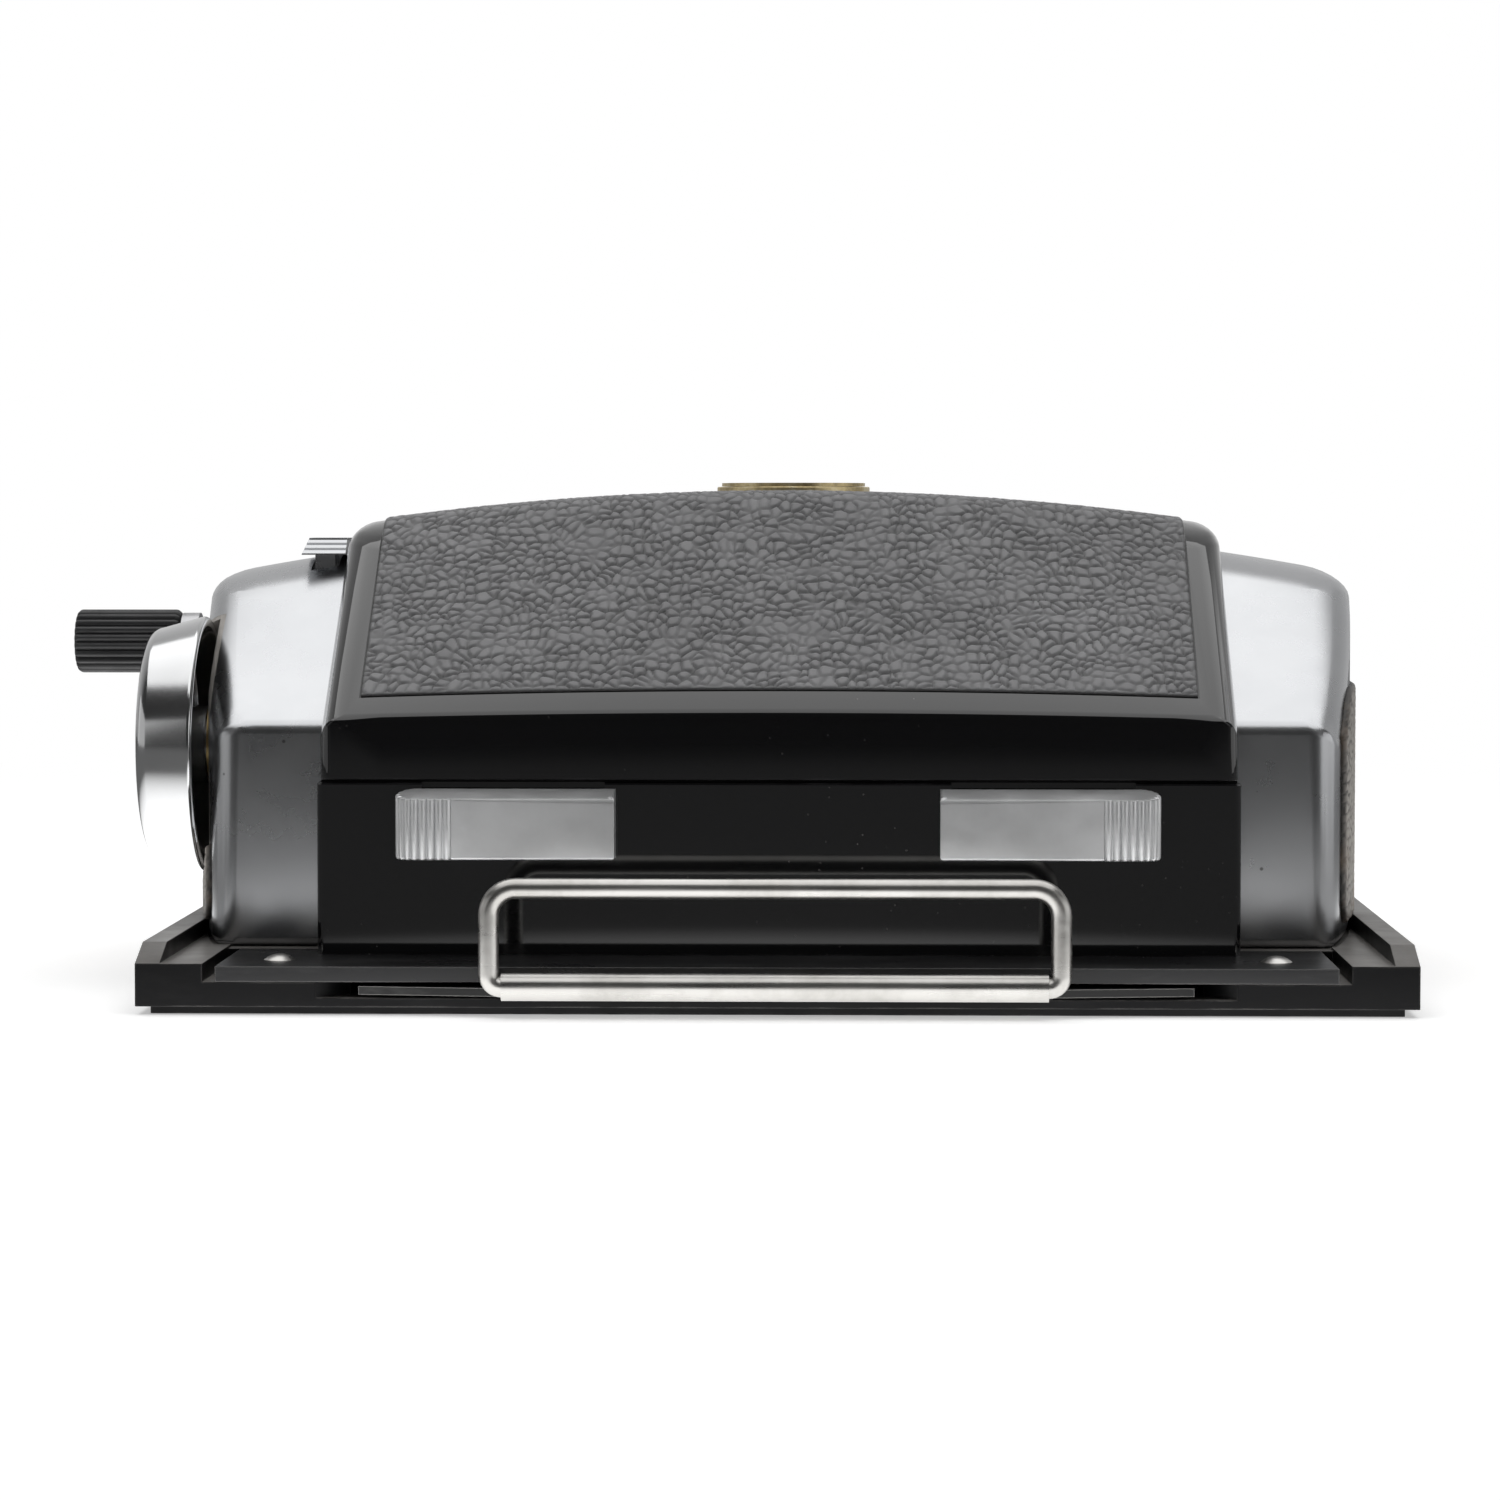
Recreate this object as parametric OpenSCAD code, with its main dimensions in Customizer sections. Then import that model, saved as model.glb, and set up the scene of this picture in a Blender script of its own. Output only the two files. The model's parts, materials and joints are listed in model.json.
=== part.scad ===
// Roll-film magazine of a twin lens reflex camera that takes interchangeable backs.
// It lies on its camera side. +Z points away from the lens, -Y is the side where the dark slide
// leaves, -X is the winding end. The origin is the centre of the film gate, on the camera-side face.

/* [Mount frame] */
// Length of the frame, along X
frame_x = 123; // [121:0.5:126]
// Depth of the frame, along Y
frame_y = 110; // [108:0.5:114]
// Height of the seat that carries the body
seat_z = 4.7; // [4.5:0.1:5.2]
// Height of the frame's end blocks
block_z = 4.95; // [4.9:0.05:5.4]
// Height of the two end rails
rail_z = 6.6; // [6:0.1:7.5]
// Width of an end rail
rail_w = 2.4; // [2:0.1:3]
// Width of the film gate, across the film
gate_x = 56; // [50:0.5:57]
// Length of the film gate, along the film
gate_y = 69.5; // [54:0.5:70]

/* [Dark slide] */
// Width of the sheet
slide_w = 80; // [74:0.5:80]
// Thickness of the sheet
slide_t = 0.8; // [0.5:0.05:0.9]
// Length of the rolled hem at its front edge
hem_l = 52; // [40:1:52]
// Width over the wire bail
bail_w = 56.4; // [55:0.2:62]
// Height of the bail's top wire above its hinge line
bail_h = 9.4; // [8:0.1:12]
// Radius of the bail's wire
wire_r = 1.0; // [0.8:0.05:1]

/* [Body and cover] */
// Half length of the black body, along X
body_x = 45.4; // [45:0.1:45.4]
// Half depth of the black body, along Y
body_y = 43; // [43:0.1:44]
// Top edge of the body
body_z = 21.7; // [21:0.1:21.7]
// Wall of the body
body_wall = 1.6; // [1.2:0.1:1.8]
// Half length of the cover
cover_x = 45.1; // [44.8:0.1:45.1]
// Wall of the cover
cover_wall = 2.0; // [1.8:0.1:2.1]
// Height where the cover's walls turn into its slopes
shoulder_z = 28.6; // [28:0.1:29]
// Height of the cover at its crown
crown_z = 50.2; // [49.5:0.1:51]
// Slope of the cover and casings above their shoulders, in degrees
slope_a = 40; // [38:0.5:41]

/* [End casings] */
// Half depth of the casings, along Y
casing_y = 35; // [34.5:0.1:35.5]
// Corner of a casing's end, from the middle of the magazine
casing_x = 55.5; // [55:0.1:56]
// How far the casing's end bulges past its corners
bulge = 4; // [3:0.1:4]
// How much wider the left casing is than the right one
left_wider = 1.2; // [0:0.1:1.5]
// Height of a casing's shoulder
casing_shoulder = 27; // [26.5:0.1:27.5]
// Height of the arch that the casing tops follow, at the middle of the magazine
casing_crown = 47.2; // [46.8:0.1:47.4]
// Wall of a casing
casing_wall = 1.3; // [1:0.1:1.4]

/* [Winding crank] */
// Radius of the cup at its rim
cup_rim_r = 13.1; // [12.5:0.1:13.5]
// Radius of the cup at its outer end
cup_end_r = 11.8; // [11:0.1:12]
// Throw of the crank
crank_r = 17.3; // [17:0.1:18]
// Angle of the crank arm above +Y
crank_a = 36; // [0:1:360]
// Radius of the crank knob
knob_r = 3.35; // [3:0.05:3.5]
// Length of the crank knob
knob_l = 11; // [10:0.5:12]

/* [Gears] */
// Module of the counter gears
gear_m = 0.5; // [0.45:0.01:0.5]
// Teeth of the gear on the winding shaft
wind_teeth = 16; // [14:1:16]
// Teeth of the compound gear's wheel
wheel_teeth = 48; // [40:1:48]
// Teeth of the compound gear's pinion
pinion_teeth = 12; // [12:1:14]
// Teeth of the counter gear
counter_teeth = 60; // [50:1:60]

/* [Film spools] */
// Distance of each spool from the middle, along Y
spool_y = 22; // [21.5:0.1:22]
// Height of the spool axes
spool_z = 24.4; // [24.2:0.1:24.6]
// Radius of a spool's flanges
flange_r = 12.55; // [12.4:0.05:12.6]
// Length of a spool over its flanges
spool_l = 65.8; // [65:0.1:66]

/* [Hidden] */
$fn = 64;

// Bottom lip of the frame: its height and how far it sits in from the edge
lip_h = 0.8;
lip_in = 1.3;
// Slide slot in the frame
slot_w = 82;
slot_z0 = 1.7;
slot_z1 = 3.2;
slot_end = 44;
slide_z0 = 2.0;
slide_end = 40;
// Guide plate over the front of the slot
plate_x = 53.8;
plate_depth = 18;
plate_screw_x = 48.4;
plate_screw_y = 7;
plate_screw_r = 1.55;
// Hem and bail share this hinge line
hem_y = -frame_y / 2 - 3;
hem_z = 3.1;
hem_r = 1.33;
running = 0.05;
bail_x = bail_w / 2 - wire_r;
bail_bottom_r = 1.2;
bail_top_r = 2.6;
// Frame screws
frame_screw_x = 52;
frame_screw_y = 28;
// Cover
cover_z0 = 22;
arch_r = 306;
leather_x = 41.3;
leather_z = 30.7;
leather_pocket = 0.5;
leather_proud = 0.3;
notch_half = 4;
notch_z = 28.4;
hinge_y = body_y + 1.7;
hinge_z = 21.9;
hinge_r = 1.5;
hinge_pin_r = 0.7;
knuckle_l = 10;
dial_x = 0.8;
dial_r = 8.15;
dial_z0 = crown_z - leather_pocket;
dial_z1 = 50.9;
dial_top = 51.3;
// Latch levers
lever_x0 = 15.9;
lever_x1 = 37.4;
lever_z0 = 14.3;
lever_z1 = 20.3;
lever_rise = 0.8;
lever_t = 4;
lever_gap = 0.1;
lever_travel = 4;
tongue_x0 = 26;
tongue_x1 = 30;
tongue_z0 = 16;
tongue_z1 = 18.5;
hook_t = 1.2;
hook_z = 24;
catch_y = 39.6;
// Casings
casing_x0 = 45.5;
casing_end = casing_x + bulge;
bulge_r = (casing_y * casing_y + bulge * bulge) / (2 * bulge);
side_plate_x = 45.7;
side_plate_t = 1.2;
end_leather_t = 0.7;
end_leather_z0 = rail_z + 0.2;
// Clearance round the foot of a casing where it sits in the frame
seat_gap = 0.05;
// Winding shaft, cup and crank
shaft_r = 2.6;
key_r = 2.5;
bush_r = 4.2;
cup_x0 = 58.9;
cup_x1 = 64.9;
cup_wall = 1.2;
boss_r = 4;
well_r = cup_rim_r + 0.5;
well_x = cup_x0 - 0.5;
arm_x0 = 61.8;
arm_t = 1.8;
arm_half = 3;
crank_y = -spool_y + crank_r * cos(crank_a);
crank_z = spool_z + crank_r * sin(crank_a);
knob_x0 = arm_x0 + arm_t + 0.2;
crank_pin_r = 1.3;
// Gear train: directions from each gear to the next
train_a1 = -9;
train_a2 = -3;
pressure_a = 25;
wheel_dist = gear_m * (wind_teeth + wheel_teeth) / 2;
counter_dist = gear_m * (pinion_teeth + counter_teeth) / 2;
wheel_y = -spool_y + wheel_dist * cos(train_a1);
wheel_z = spool_z + wheel_dist * sin(train_a1);
counter_y = wheel_y + counter_dist * cos(train_a2);
counter_z = wheel_z + counter_dist * sin(train_a2);
axle_r = 1.2;
window_r = 3.2;
window_up = 9.5;
// Release tab on the left casing
tab_x = [-50.4, -45.8];
tab_y = [-13.5, -6];
tab_z1 = 45.5;
tab_travel = 2.5;
// Film path
carrier_x = 35;
carrier_t = 1.5;
roller_y = 38.6;
roller_z = 8.0;
roller_r = 2;
roller_axle_r = 1.0;
press_z0 = 5.5;
press_z1 = 6.9;
bridge_z = 9.0;
bore_r = 2.6;
pin_r = 2.5;
pin_head_x = 49;

// ---- shared shapes ----

module block(x, y, z) {
    translate([x[0], y[0], z[0]]) cube([x[1] - x[0], y[1] - y[0], z[1] - z[0]]);
}

module rod_x(r, x, y, z) {
    translate([x[0], y, z]) rotate([0, 90, 0]) cylinder(r = r, h = x[1] - x[0]);
}

module rod_z(r, z, x, y) {
    translate([x, y, z[0]]) cylinder(r = r, h = z[1] - z[0]);
}

// Extrudes a shape drawn in Y and Z along X
module along_x(x) {
    translate([x[0], 0, 0]) rotate([90, 0, 90]) linear_extrude(x[1] - x[0]) children();
}

// Extrudes a shape drawn in X and Z along Y
module along_y(y) {
    translate([0, y[1], 0]) rotate([90, 0, 0]) linear_extrude(y[1] - y[0]) children();
}

// Moves a thing from the right side to the side wanted: 1 is right, -1 is left
module on_side(side) {
    if (side < 0) mirror([1, 0, 0]) children();
    else children();
}

module both_sides() {
    for (side = [-1, 1]) on_side(side) children();
}

// Upright walls, then slopes that meet the top: drawn in Y and Z
function shoulder_at(shoulder, inset) = shoulder - inset * (1 - sin(slope_a)) / cos(slope_a);

module hip(half, z0, shoulder, top) {
    run = (top - shoulder) / tan(slope_a);
    polygon([[-half, z0], [half, z0], [half, shoulder], [half - run, top],
             [run - half, top], [-half, shoulder]]);
}

// Everything under the shallow arch that crosses the magazine: drawn in X and Z
module under_arch(half, z0, crown) {
    intersection() {
        translate([0, crown - arch_r]) circle(r = arch_r, $fn = 360);
        translate([-half, z0]) square([2 * half, crown - z0 + 1]);
    }
}

// The cover's outer form, moved inwards by inset. It starts at z0
module cover_form(inset, z0) {
    top = crown_z - inset;
    intersection() {
        along_x([-cover_x + inset, cover_x - inset])
            hip(body_y - inset, z0, shoulder_at(shoulder_z, inset), top + 1);
        along_y([-body_y, body_y]) under_arch(cover_x, z0 - 1, top);
    }
}

// A casing's form on the right side, moved inwards by inset, from x0 outwards
module casing_form(inset, x0, z0, wider) {
    end = casing_end + wider;
    top = casing_crown - inset;
    intersection() {
        along_x([x0, end + 1])
            hip(casing_y - inset, z0, shoulder_at(casing_shoulder, inset), top);
        along_y([-casing_y - 1, casing_y + 1]) under_arch(end + 1, z0 - 1, top);
        translate([end - bulge_r, 0, z0 - 1]) cylinder(r = bulge_r - inset, h = top, $fn = 360);
    }
}

// Involute gear teeth, drawn with one tooth centred at angle phase
function half_tooth(teeth, r) =
    let (base = gear_m * teeth / 2 * cos(pressure_a),
         roll = sqrt(max(0, pow(r / base, 2) - 1)),
         slack = 5 / teeth,
         at_pitch = 90 / teeth + tan(pressure_a) * 180 / PI - pressure_a - slack)
    at_pitch - (roll * 180 / PI - atan(roll));

function polar(r, a) = [r * cos(a), r * sin(a)];

module gear_teeth(teeth, phase) {
    pitch_r = gear_m * teeth / 2;
    root = pitch_r - 1.2 * gear_m;
    tip = pitch_r + 0.8 * gear_m;
    foot = max(root, pitch_r * cos(pressure_a));
    steps = [foot, (foot + pitch_r) / 2, pitch_r, (pitch_r + tip) / 2, tip];
    polygon([for (i = [0 : teeth - 1])
        let (a = phase + i * 360 / teeth)
        each concat(
            [polar(root, a - half_tooth(teeth, foot))],
            [for (r = steps) polar(r, a - half_tooth(teeth, r))],
            [for (k = [len(steps) - 1 : -1 : 0]) polar(steps[k], a + half_tooth(teeth, steps[k]))],
            [polar(root, a + half_tooth(teeth, foot))])]);
}

module gear(teeth, phase, x, y, z, hole_r) {
    along_x(x) translate([y, z]) difference() {
        gear_teeth(teeth, phase);
        circle(r = hole_r);
    }
}

// A bowed leaf spring between two levels, drawn as a strip of arc and extruded
module leaf(span, rise, t) {
    r = (span * span / 4 + rise * rise) / (2 * rise);
    translate([0, rise - r]) difference() {
        intersection() {
            circle(r = r, $fn = 180);
            translate([-span / 2, r - rise]) square([span, rise + 1]);
        }
        circle(r = r - t, $fn = 180);
    }
}

// ---- frame and dark slide ----

// Where a casing stands in the frame
module casing_seat(wider) {
    translate([0, 0, seat_z]) linear_extrude(rail_z) intersection() {
        translate([casing_end + wider - bulge_r, 0]) circle(r = bulge_r + seat_gap, $fn = 360);
        translate([casing_x0 - seat_gap, -casing_y - seat_gap])
            square([bulge + casing_x, 2 * (casing_y + seat_gap)]);
    }
}

module mount_frame() {
    hx = frame_x / 2;
    hy = frame_y / 2;
    color("#1c1c1d") difference() {
        union() {
            block([-hx + lip_in, hx - lip_in], [-hy + lip_in, hy - lip_in], [0, lip_h]);
            block([-hx, hx], [-hy, hy], [lip_h, seat_z]);
            both_sides() {
                block([plate_x + 1.2, hx], [-hy, hy], [seat_z, block_z]);
                along_x([hx - rail_w, hx])
                    polygon([[-hy, block_z - 1], [hy, block_z - 1], [hy, block_z], [hy - 5, rail_z],
                             [5 - hy, rail_z], [-hy, block_z]]);
                block([gate_x / 2 + 0.6, gate_x / 2 + 2], [-34, 34], [seat_z, seat_z + 0.3]);
            }
        }
        block([-plate_x - 1.2, plate_x + 1.2], [-hy - 1, plate_depth - hy + 0.1], [slot_z1, rail_z]);
        block([-slot_w / 2, slot_w / 2], [-hy - 1, slot_end], [slot_z0, slot_z1]);
        translate([0, 0, slot_z0]) linear_extrude(slot_z1 - slot_z0)
            polygon([[-45.2, -hy - 1], [45.2, -hy - 1], [slot_w / 2, 3 - hy], [-slot_w / 2, 3 - hy]]);
        block([-gate_x / 2, gate_x / 2], [-gate_y / 2, gate_y / 2], [-1, rail_z]);
        // groove that holds the velvet of the slide's light trap
        block([-slot_w / 2, slot_w / 2], [-46, -40], [1, slot_z0 + 0.1]);
        on_side(1) casing_seat(0);
        on_side(-1) casing_seat(left_wider);
        both_sides() {
            rod_z(0.95, [1, slot_z1 + 1], plate_screw_x, plate_screw_y - hy);
            for (y = [-frame_screw_y, frame_screw_y]) {
                rod_z(1.3, [-1, rail_z], frame_screw_x, y);
                rod_z(2.3, [-1, 1.2], frame_screw_x, y);
            }
        }
    }
}

module slide_guide_plate() {
    hy = frame_y / 2;
    color("#222223") difference() {
        block([-plate_x, plate_x], [-hy, plate_depth - hy], [slot_z1, seat_z]);
        both_sides() rod_z(0.95, [slot_z1 - 1, seat_z + 1], plate_screw_x, plate_screw_y - hy);
    }
}

// A domed head is a slice of a ball
module guide_plate_screws() {
    ball_r = 2.3;
    color("#b9babb") both_sides() translate([plate_screw_x, plate_screw_y - frame_y / 2, 0]) {
        translate([0, 0, 1]) cylinder(r = 0.95, h = seat_z - 1);
        intersection() {
            translate([0, 0, seat_z + 0.6 - ball_r]) sphere(r = ball_r);
            translate([0, 0, seat_z]) cylinder(r = plate_screw_r, h = 1);
        }
    }
}

module slide_light_trap() {
    color("#101011") block([-slot_w / 2, slot_w / 2], [-46, -40], [1, slide_z0 - 0.1]);
}

module frame_screws() {
    color("#7d7e80") both_sides() for (y = [-frame_screw_y, frame_screw_y]) difference() {
        union() {
            rod_z(2.3, [0.2, 1.2], frame_screw_x, y);
            rod_z(1.3, [1.2, seat_z], frame_screw_x, y);
        }
        block([frame_screw_x - 3, frame_screw_x + 3], [y - 0.3, y + 0.3], [0, 0.7]);
    }
}

module dark_slide() {
    hy = frame_y / 2;
    color("#b8b9b8") difference() {
        union() {
            translate([0, 0, slide_z0]) linear_extrude(slide_t)
                polygon([[-slide_w / 2, slide_end], [-slide_w / 2, 0.2 - hy], [-hem_l / 2, -hy - 1.5],
                         [-hem_l / 2, hem_y + 0.8], [hem_l / 2, hem_y + 0.8], [hem_l / 2, -hy - 1.5],
                         [slide_w / 2, 0.2 - hy], [slide_w / 2, slide_end]]);
            rod_x(hem_r, [-hem_l / 2, hem_l / 2], hem_y, hem_z);
        }
        rod_x(wire_r + running, [-hem_l, hem_l], hem_y, hem_z);
    }
}

// One quarter bend of the bail's wire, in the XZ plane
module wire_bend(r, x, z, a) {
    translate([x, hem_y, z]) rotate([90, 0, 0]) rotate([0, 0, a])
        rotate_extrude(angle = 90) translate([r, 0]) circle(r = wire_r, $fn = 32);
}

module slide_bail() {
    top = hem_z + bail_h;
    color("#bdbdbb") {
        rod_x(wire_r, [bail_bottom_r - bail_x, bail_x - bail_bottom_r], hem_y, hem_z);
        rod_x(wire_r, [bail_top_r - bail_x, bail_x - bail_top_r], hem_y, top);
        both_sides() {
            rod_z(wire_r, [hem_z + bail_bottom_r, top - bail_top_r], bail_x, hem_y);
            wire_bend(bail_bottom_r, bail_x - bail_bottom_r, hem_z + bail_bottom_r, -90);
            wire_bend(bail_top_r, bail_x - bail_top_r, top - bail_top_r, 0);
        }
    }
}

// ---- body and cover ----

module knuckles(x_list, drop) {
    difference() {
        for (x = x_list) {
            rod_x(hinge_r, [x, x + knuckle_l - 0.3], hinge_y, hinge_z);
            block([x, x + knuckle_l - 0.3], [body_y - 0.2, hinge_y], drop);
        }
        rod_x(hinge_pin_r + running, [-3 * knuckle_l, 3 * knuckle_l], hinge_y, hinge_z);
    }
}

module body_shell() {
    color("#121213") {
        difference() {
            block([-body_x, body_x], [-body_y, body_y], [seat_z, body_z]);
            block([body_wall - body_x, body_x - body_wall], [body_wall - body_y, body_y - body_wall],
                  [seat_z - 1, body_z + 1]);
            both_sides() {
                block([tongue_x0 - lever_travel - 0.5, tongue_x1 + 0.5], [-body_y - 1, -catch_y],
                      [tongue_z0 - 0.3, tongue_z1 + 0.3]);
                // shallow relief above each lever
                block([17, 35], [-body_y - 1, 0.8 - body_y], [body_z - 1, body_z + 1]);
            }
            for (y = [-spool_y, spool_y])
                block([-body_x - 1, body_x + 1], [y - notch_half, y + notch_half],
                      [body_z - 1, body_z + 1]);
            // the body's back edge makes room for the cover's knuckle
            block([-knuckle_l / 2 - 0.4, knuckle_l / 2 + 0.4], [body_y - 0.3, body_y + 1],
                  [hinge_z - 2, body_z + 1]);
        }
        knuckles([-1.5 * knuckle_l, 0.5 * knuckle_l], [hinge_z - hinge_r, body_z]);
    }
}

module body_light_seal() {
    color("#1a1a1b") difference() {
        block([0.4 - body_x, body_x - 0.4], [0.9 - body_y, body_y - 0.4], [body_z, body_z + 0.2]);
        block([1.2 - body_x, body_x - 1.2], [1.5 - body_y, body_y - 1.2], [body_z - 1, body_z + 1]);
        for (y = [-spool_y, spool_y])
            block([-body_x, body_x], [y - notch_half, y + notch_half], [body_z - 1, body_z + 1]);
    }
}

module back_cover() {
    color("#141415") {
        difference() {
            cover_form(0, cover_z0);
            cover_form(cover_wall, cover_z0 - 1);
            difference() {
                block([-leather_x, leather_x], [-body_y, body_y], [leather_z, crown_z + 1]);
                cover_form(leather_pocket, cover_z0 - 1);
            }
            for (y = [-spool_y, spool_y])
                block([-body_x, body_x], [y - notch_half, y + notch_half], [cover_z0 - 1, notch_z]);
        }
        knuckles([-0.5 * knuckle_l], [cover_z0, hinge_z + hinge_r]);
    }
}

module cover_leather() {
    gap = 0.05;
    color("#4a4a4c") difference() {
        intersection() {
            cover_form(-leather_proud, cover_z0);
            block([gap - leather_x, leather_x - gap], [-body_y - 1, body_y + 1],
                  [leather_z + gap, crown_z + 2]);
        }
        cover_form(leather_pocket, cover_z0 - 1);
        rod_z(dial_r + 0.1, [crown_z - 3, crown_z + 3], dial_x, 0);
    }
}

module cover_catches() {
    y0 = cover_wall - body_y;
    color("#8f9092") both_sides() {
        block([tongue_x0, tongue_x1], [y0, -catch_y], [cover_z0 + 0.3, cover_z0 + 3]);
        block([tongue_x0, tongue_x1], [y0 + 0.5, -catch_y], [tongue_z1 + 0.8, cover_z0 + 0.3]);
    }
}

module cover_hinge_pin() {
    color("#8f9092") rod_x(hinge_pin_r, [-1.5 * knuckle_l, 1.5 * knuckle_l - 0.3], hinge_y, hinge_z);
}

module memo_dial_base() {
    color("#2a2a2a") difference() {
        rod_z(dial_r, [dial_z0, dial_z1], dial_x, 0);
        rod_z(1.05, [dial_z0 - 1, dial_z1 + 1], dial_x, 0);
    }
}

module memo_dial() {
    color("#b39a63") {
        rod_z(dial_r - 0.5, [dial_z1 + 0.05, dial_top], dial_x, 0);
        rod_z(1, [dial_z0 + 0.3, dial_z1 + 0.1], dial_x, 0);
    }
}

// Right lever: a bar outside the wall, with a tongue that carries the hook inside
module latch_lever() {
    end_r = lever_t / 2;
    y_mid = -body_y - lever_gap - end_r;
    top = lever_z1 + lever_rise;
    ribs = 6;
    difference() {
        union() {
            intersection() {
                union() {
                    block([lever_x0, lever_x1 - end_r], [y_mid - end_r, y_mid + end_r], [lever_z0, top]);
                    rod_z(end_r, [lever_z0, top], lever_x1 - end_r, y_mid);
                }
                along_x([lever_x0, lever_x1])
                    polygon([[y_mid - end_r, lever_z0], [y_mid + end_r, lever_z0], [y_mid + end_r, top],
                             [y_mid - end_r, lever_z1]]);
            }
            block([tongue_x0, tongue_x1], [y_mid, hook_t - catch_y + 0.2], [tongue_z0, tongue_z1]);
            block([tongue_x0, tongue_x1], [0.2 - catch_y, 0.2 + hook_t - catch_y], [tongue_z0, hook_z]);
        }
        for (i = [0 : ribs - 1])
            rod_z(0.22, [lever_z0 - 1, top + 1], lever_x1 - end_r - 0.9 * i + 0.3, y_mid - end_r);
        for (a = [-45, 0, 45])
            rod_z(0.22, [lever_z0 - 1, top + 1], lever_x1 - end_r + end_r * cos(a),
                  y_mid + end_r * sin(a));
    }
}

module right_latch_lever() {
    color("#c3c4c6") latch_lever();
}

module left_latch_lever() {
    color("#c3c4c6") on_side(-1) latch_lever();
}

// Leaf springs behind the front wall, which push the levers apart
module latch_springs() {
    color("#9fa1a3") both_sides()
        translate([tongue_x0 - 0.1, -catch_y - 0.9, tongue_z0 + 0.4]) rotate([0, 0, 90])
            translate([-0.6, 0, 0]) linear_extrude(1.6) {
                square([1.2, 0.25]);
                translate([0.95, 0]) square([0.25, 6]);
                translate([0, 5.75]) square([1.2, 0.25]);
            }
}

// ---- end casings ----

module casing_shell(wider) {
    difference() {
        casing_form(0, casing_x0, seat_z, wider);
        casing_form(casing_wall, casing_x0 - 1, seat_z - 1, wider);
    }
}

// The left casing is wider for the counter, and has a round well that the crank's cup turns in
module left_end_casing() {
    color("#b4b5b7") on_side(-1) difference() {
        union() {
            casing_shell(left_wider);
            intersection() {
                casing_form(0, casing_x0, seat_z, left_wider);
                rod_x(well_r + casing_wall, [well_x - casing_wall, casing_end + left_wider + 1],
                      -spool_y, spool_z);
            }
        }
        rod_x(well_r, [well_x, casing_end + left_wider + 1], -spool_y, spool_z);
        rod_x(bush_r, [casing_x, casing_end], -spool_y, spool_z);
        rod_x(window_r, [casing_x, casing_end + left_wider + 1], counter_y, counter_z + window_up);
        block([46.7, 49.6], [tab_y[0] + 1.5, tab_y[1] + tab_travel - 1], [40, casing_crown]);
    }
}

module right_end_casing() {
    color("#b4b5b7") casing_shell(0);
}

// A skin on the bulged end, inside its hip-shaped outline
module end_leather(top, wider) {
    margin = 2.2;
    intersection() {
        translate([casing_end + wider - bulge_r, 0, end_leather_z0]) difference() {
            cylinder(r = bulge_r + end_leather_t, h = top - end_leather_z0, $fn = 360);
            translate([0, 0, -1]) cylinder(r = bulge_r, h = top, $fn = 360);
        }
        along_x([casing_x - 1, casing_end + wider + 2])
            hip(casing_y - margin, seat_z, shoulder_at(casing_shoulder, margin), casing_crown);
    }
}

module left_end_leather() {
    color("#6d6a66") on_side(-1) difference() {
        end_leather(36, left_wider);
        rod_x(well_r + 0.3, [casing_x, casing_end + left_wider + 2], -spool_y, spool_z);
        rod_x(window_r + 0.2, [casing_x, casing_end + left_wider + 2], counter_y, counter_z + window_up);
    }
}

module right_end_leather() {
    color("#6d6a66") end_leather(30.5, 0);
}

// Plates that close the casings towards the film chamber
module inner_plate() {
    intersection() {
        casing_form(casing_wall, casing_x0 - 1, seat_z, 0);
        block([side_plate_x, side_plate_x + side_plate_t], [-casing_y, casing_y], [0, 60]);
    }
}

module gear_plate() {
    color("#8a8b8d") on_side(-1) difference() {
        inner_plate();
        rod_x(bush_r, [side_plate_x - 1, side_plate_x + 5], -spool_y, spool_z);
        rod_x(pin_r, [side_plate_x - 1, side_plate_x + 5], spool_y, spool_z);
        rod_x(axle_r, [side_plate_x - 1, side_plate_x + 5], wheel_y, wheel_z);
        rod_x(axle_r, [side_plate_x - 1, side_plate_x + 5], counter_y, counter_z);
    }
}

module right_side_plate() {
    color("#8a8b8d") difference() {
        inner_plate();
        for (y = [-spool_y, spool_y]) rod_x(bore_r, [side_plate_x - 1, side_plate_x + 5], y, spool_z);
    }
}

// ---- winding crank ----

// Drawn as radius against distance from the rim, then turned about the crank's axis
module about_crank(x0) {
    translate([-x0, -spool_y, spool_z]) rotate([0, -90, 0]) rotate_extrude() children();
}

module crank_cup() {
    depth = cup_x1 - cup_x0;
    edge = 0.9;
    color("#c9cacc") difference() {
        about_crank(cup_x0) difference() {
            polygon([[shaft_r, 0], [cup_rim_r - 0.4, 0], [cup_rim_r, 0.4], [cup_end_r + 0.25, depth - edge],
                     [cup_end_r - 0.05, depth - 0.25], [cup_end_r - edge, depth], [shaft_r, depth]]);
            polygon([[boss_r, -1], [cup_rim_r - cup_wall, -1], [cup_rim_r - cup_wall, 0],
                     [cup_end_r - cup_wall, depth - cup_wall], [boss_r, depth - cup_wall]]);
        }
        // slot in the rim where the arm comes out
        translate([0, -spool_y, spool_z]) rotate([crank_a, 0, 0])
            block([-arm_x0 - arm_t - 0.2, 1 - cup_x0], [boss_r + 3, cup_rim_r + 2],
                  [-arm_half - 0.2, arm_half + 0.2]);
    }
}

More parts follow.
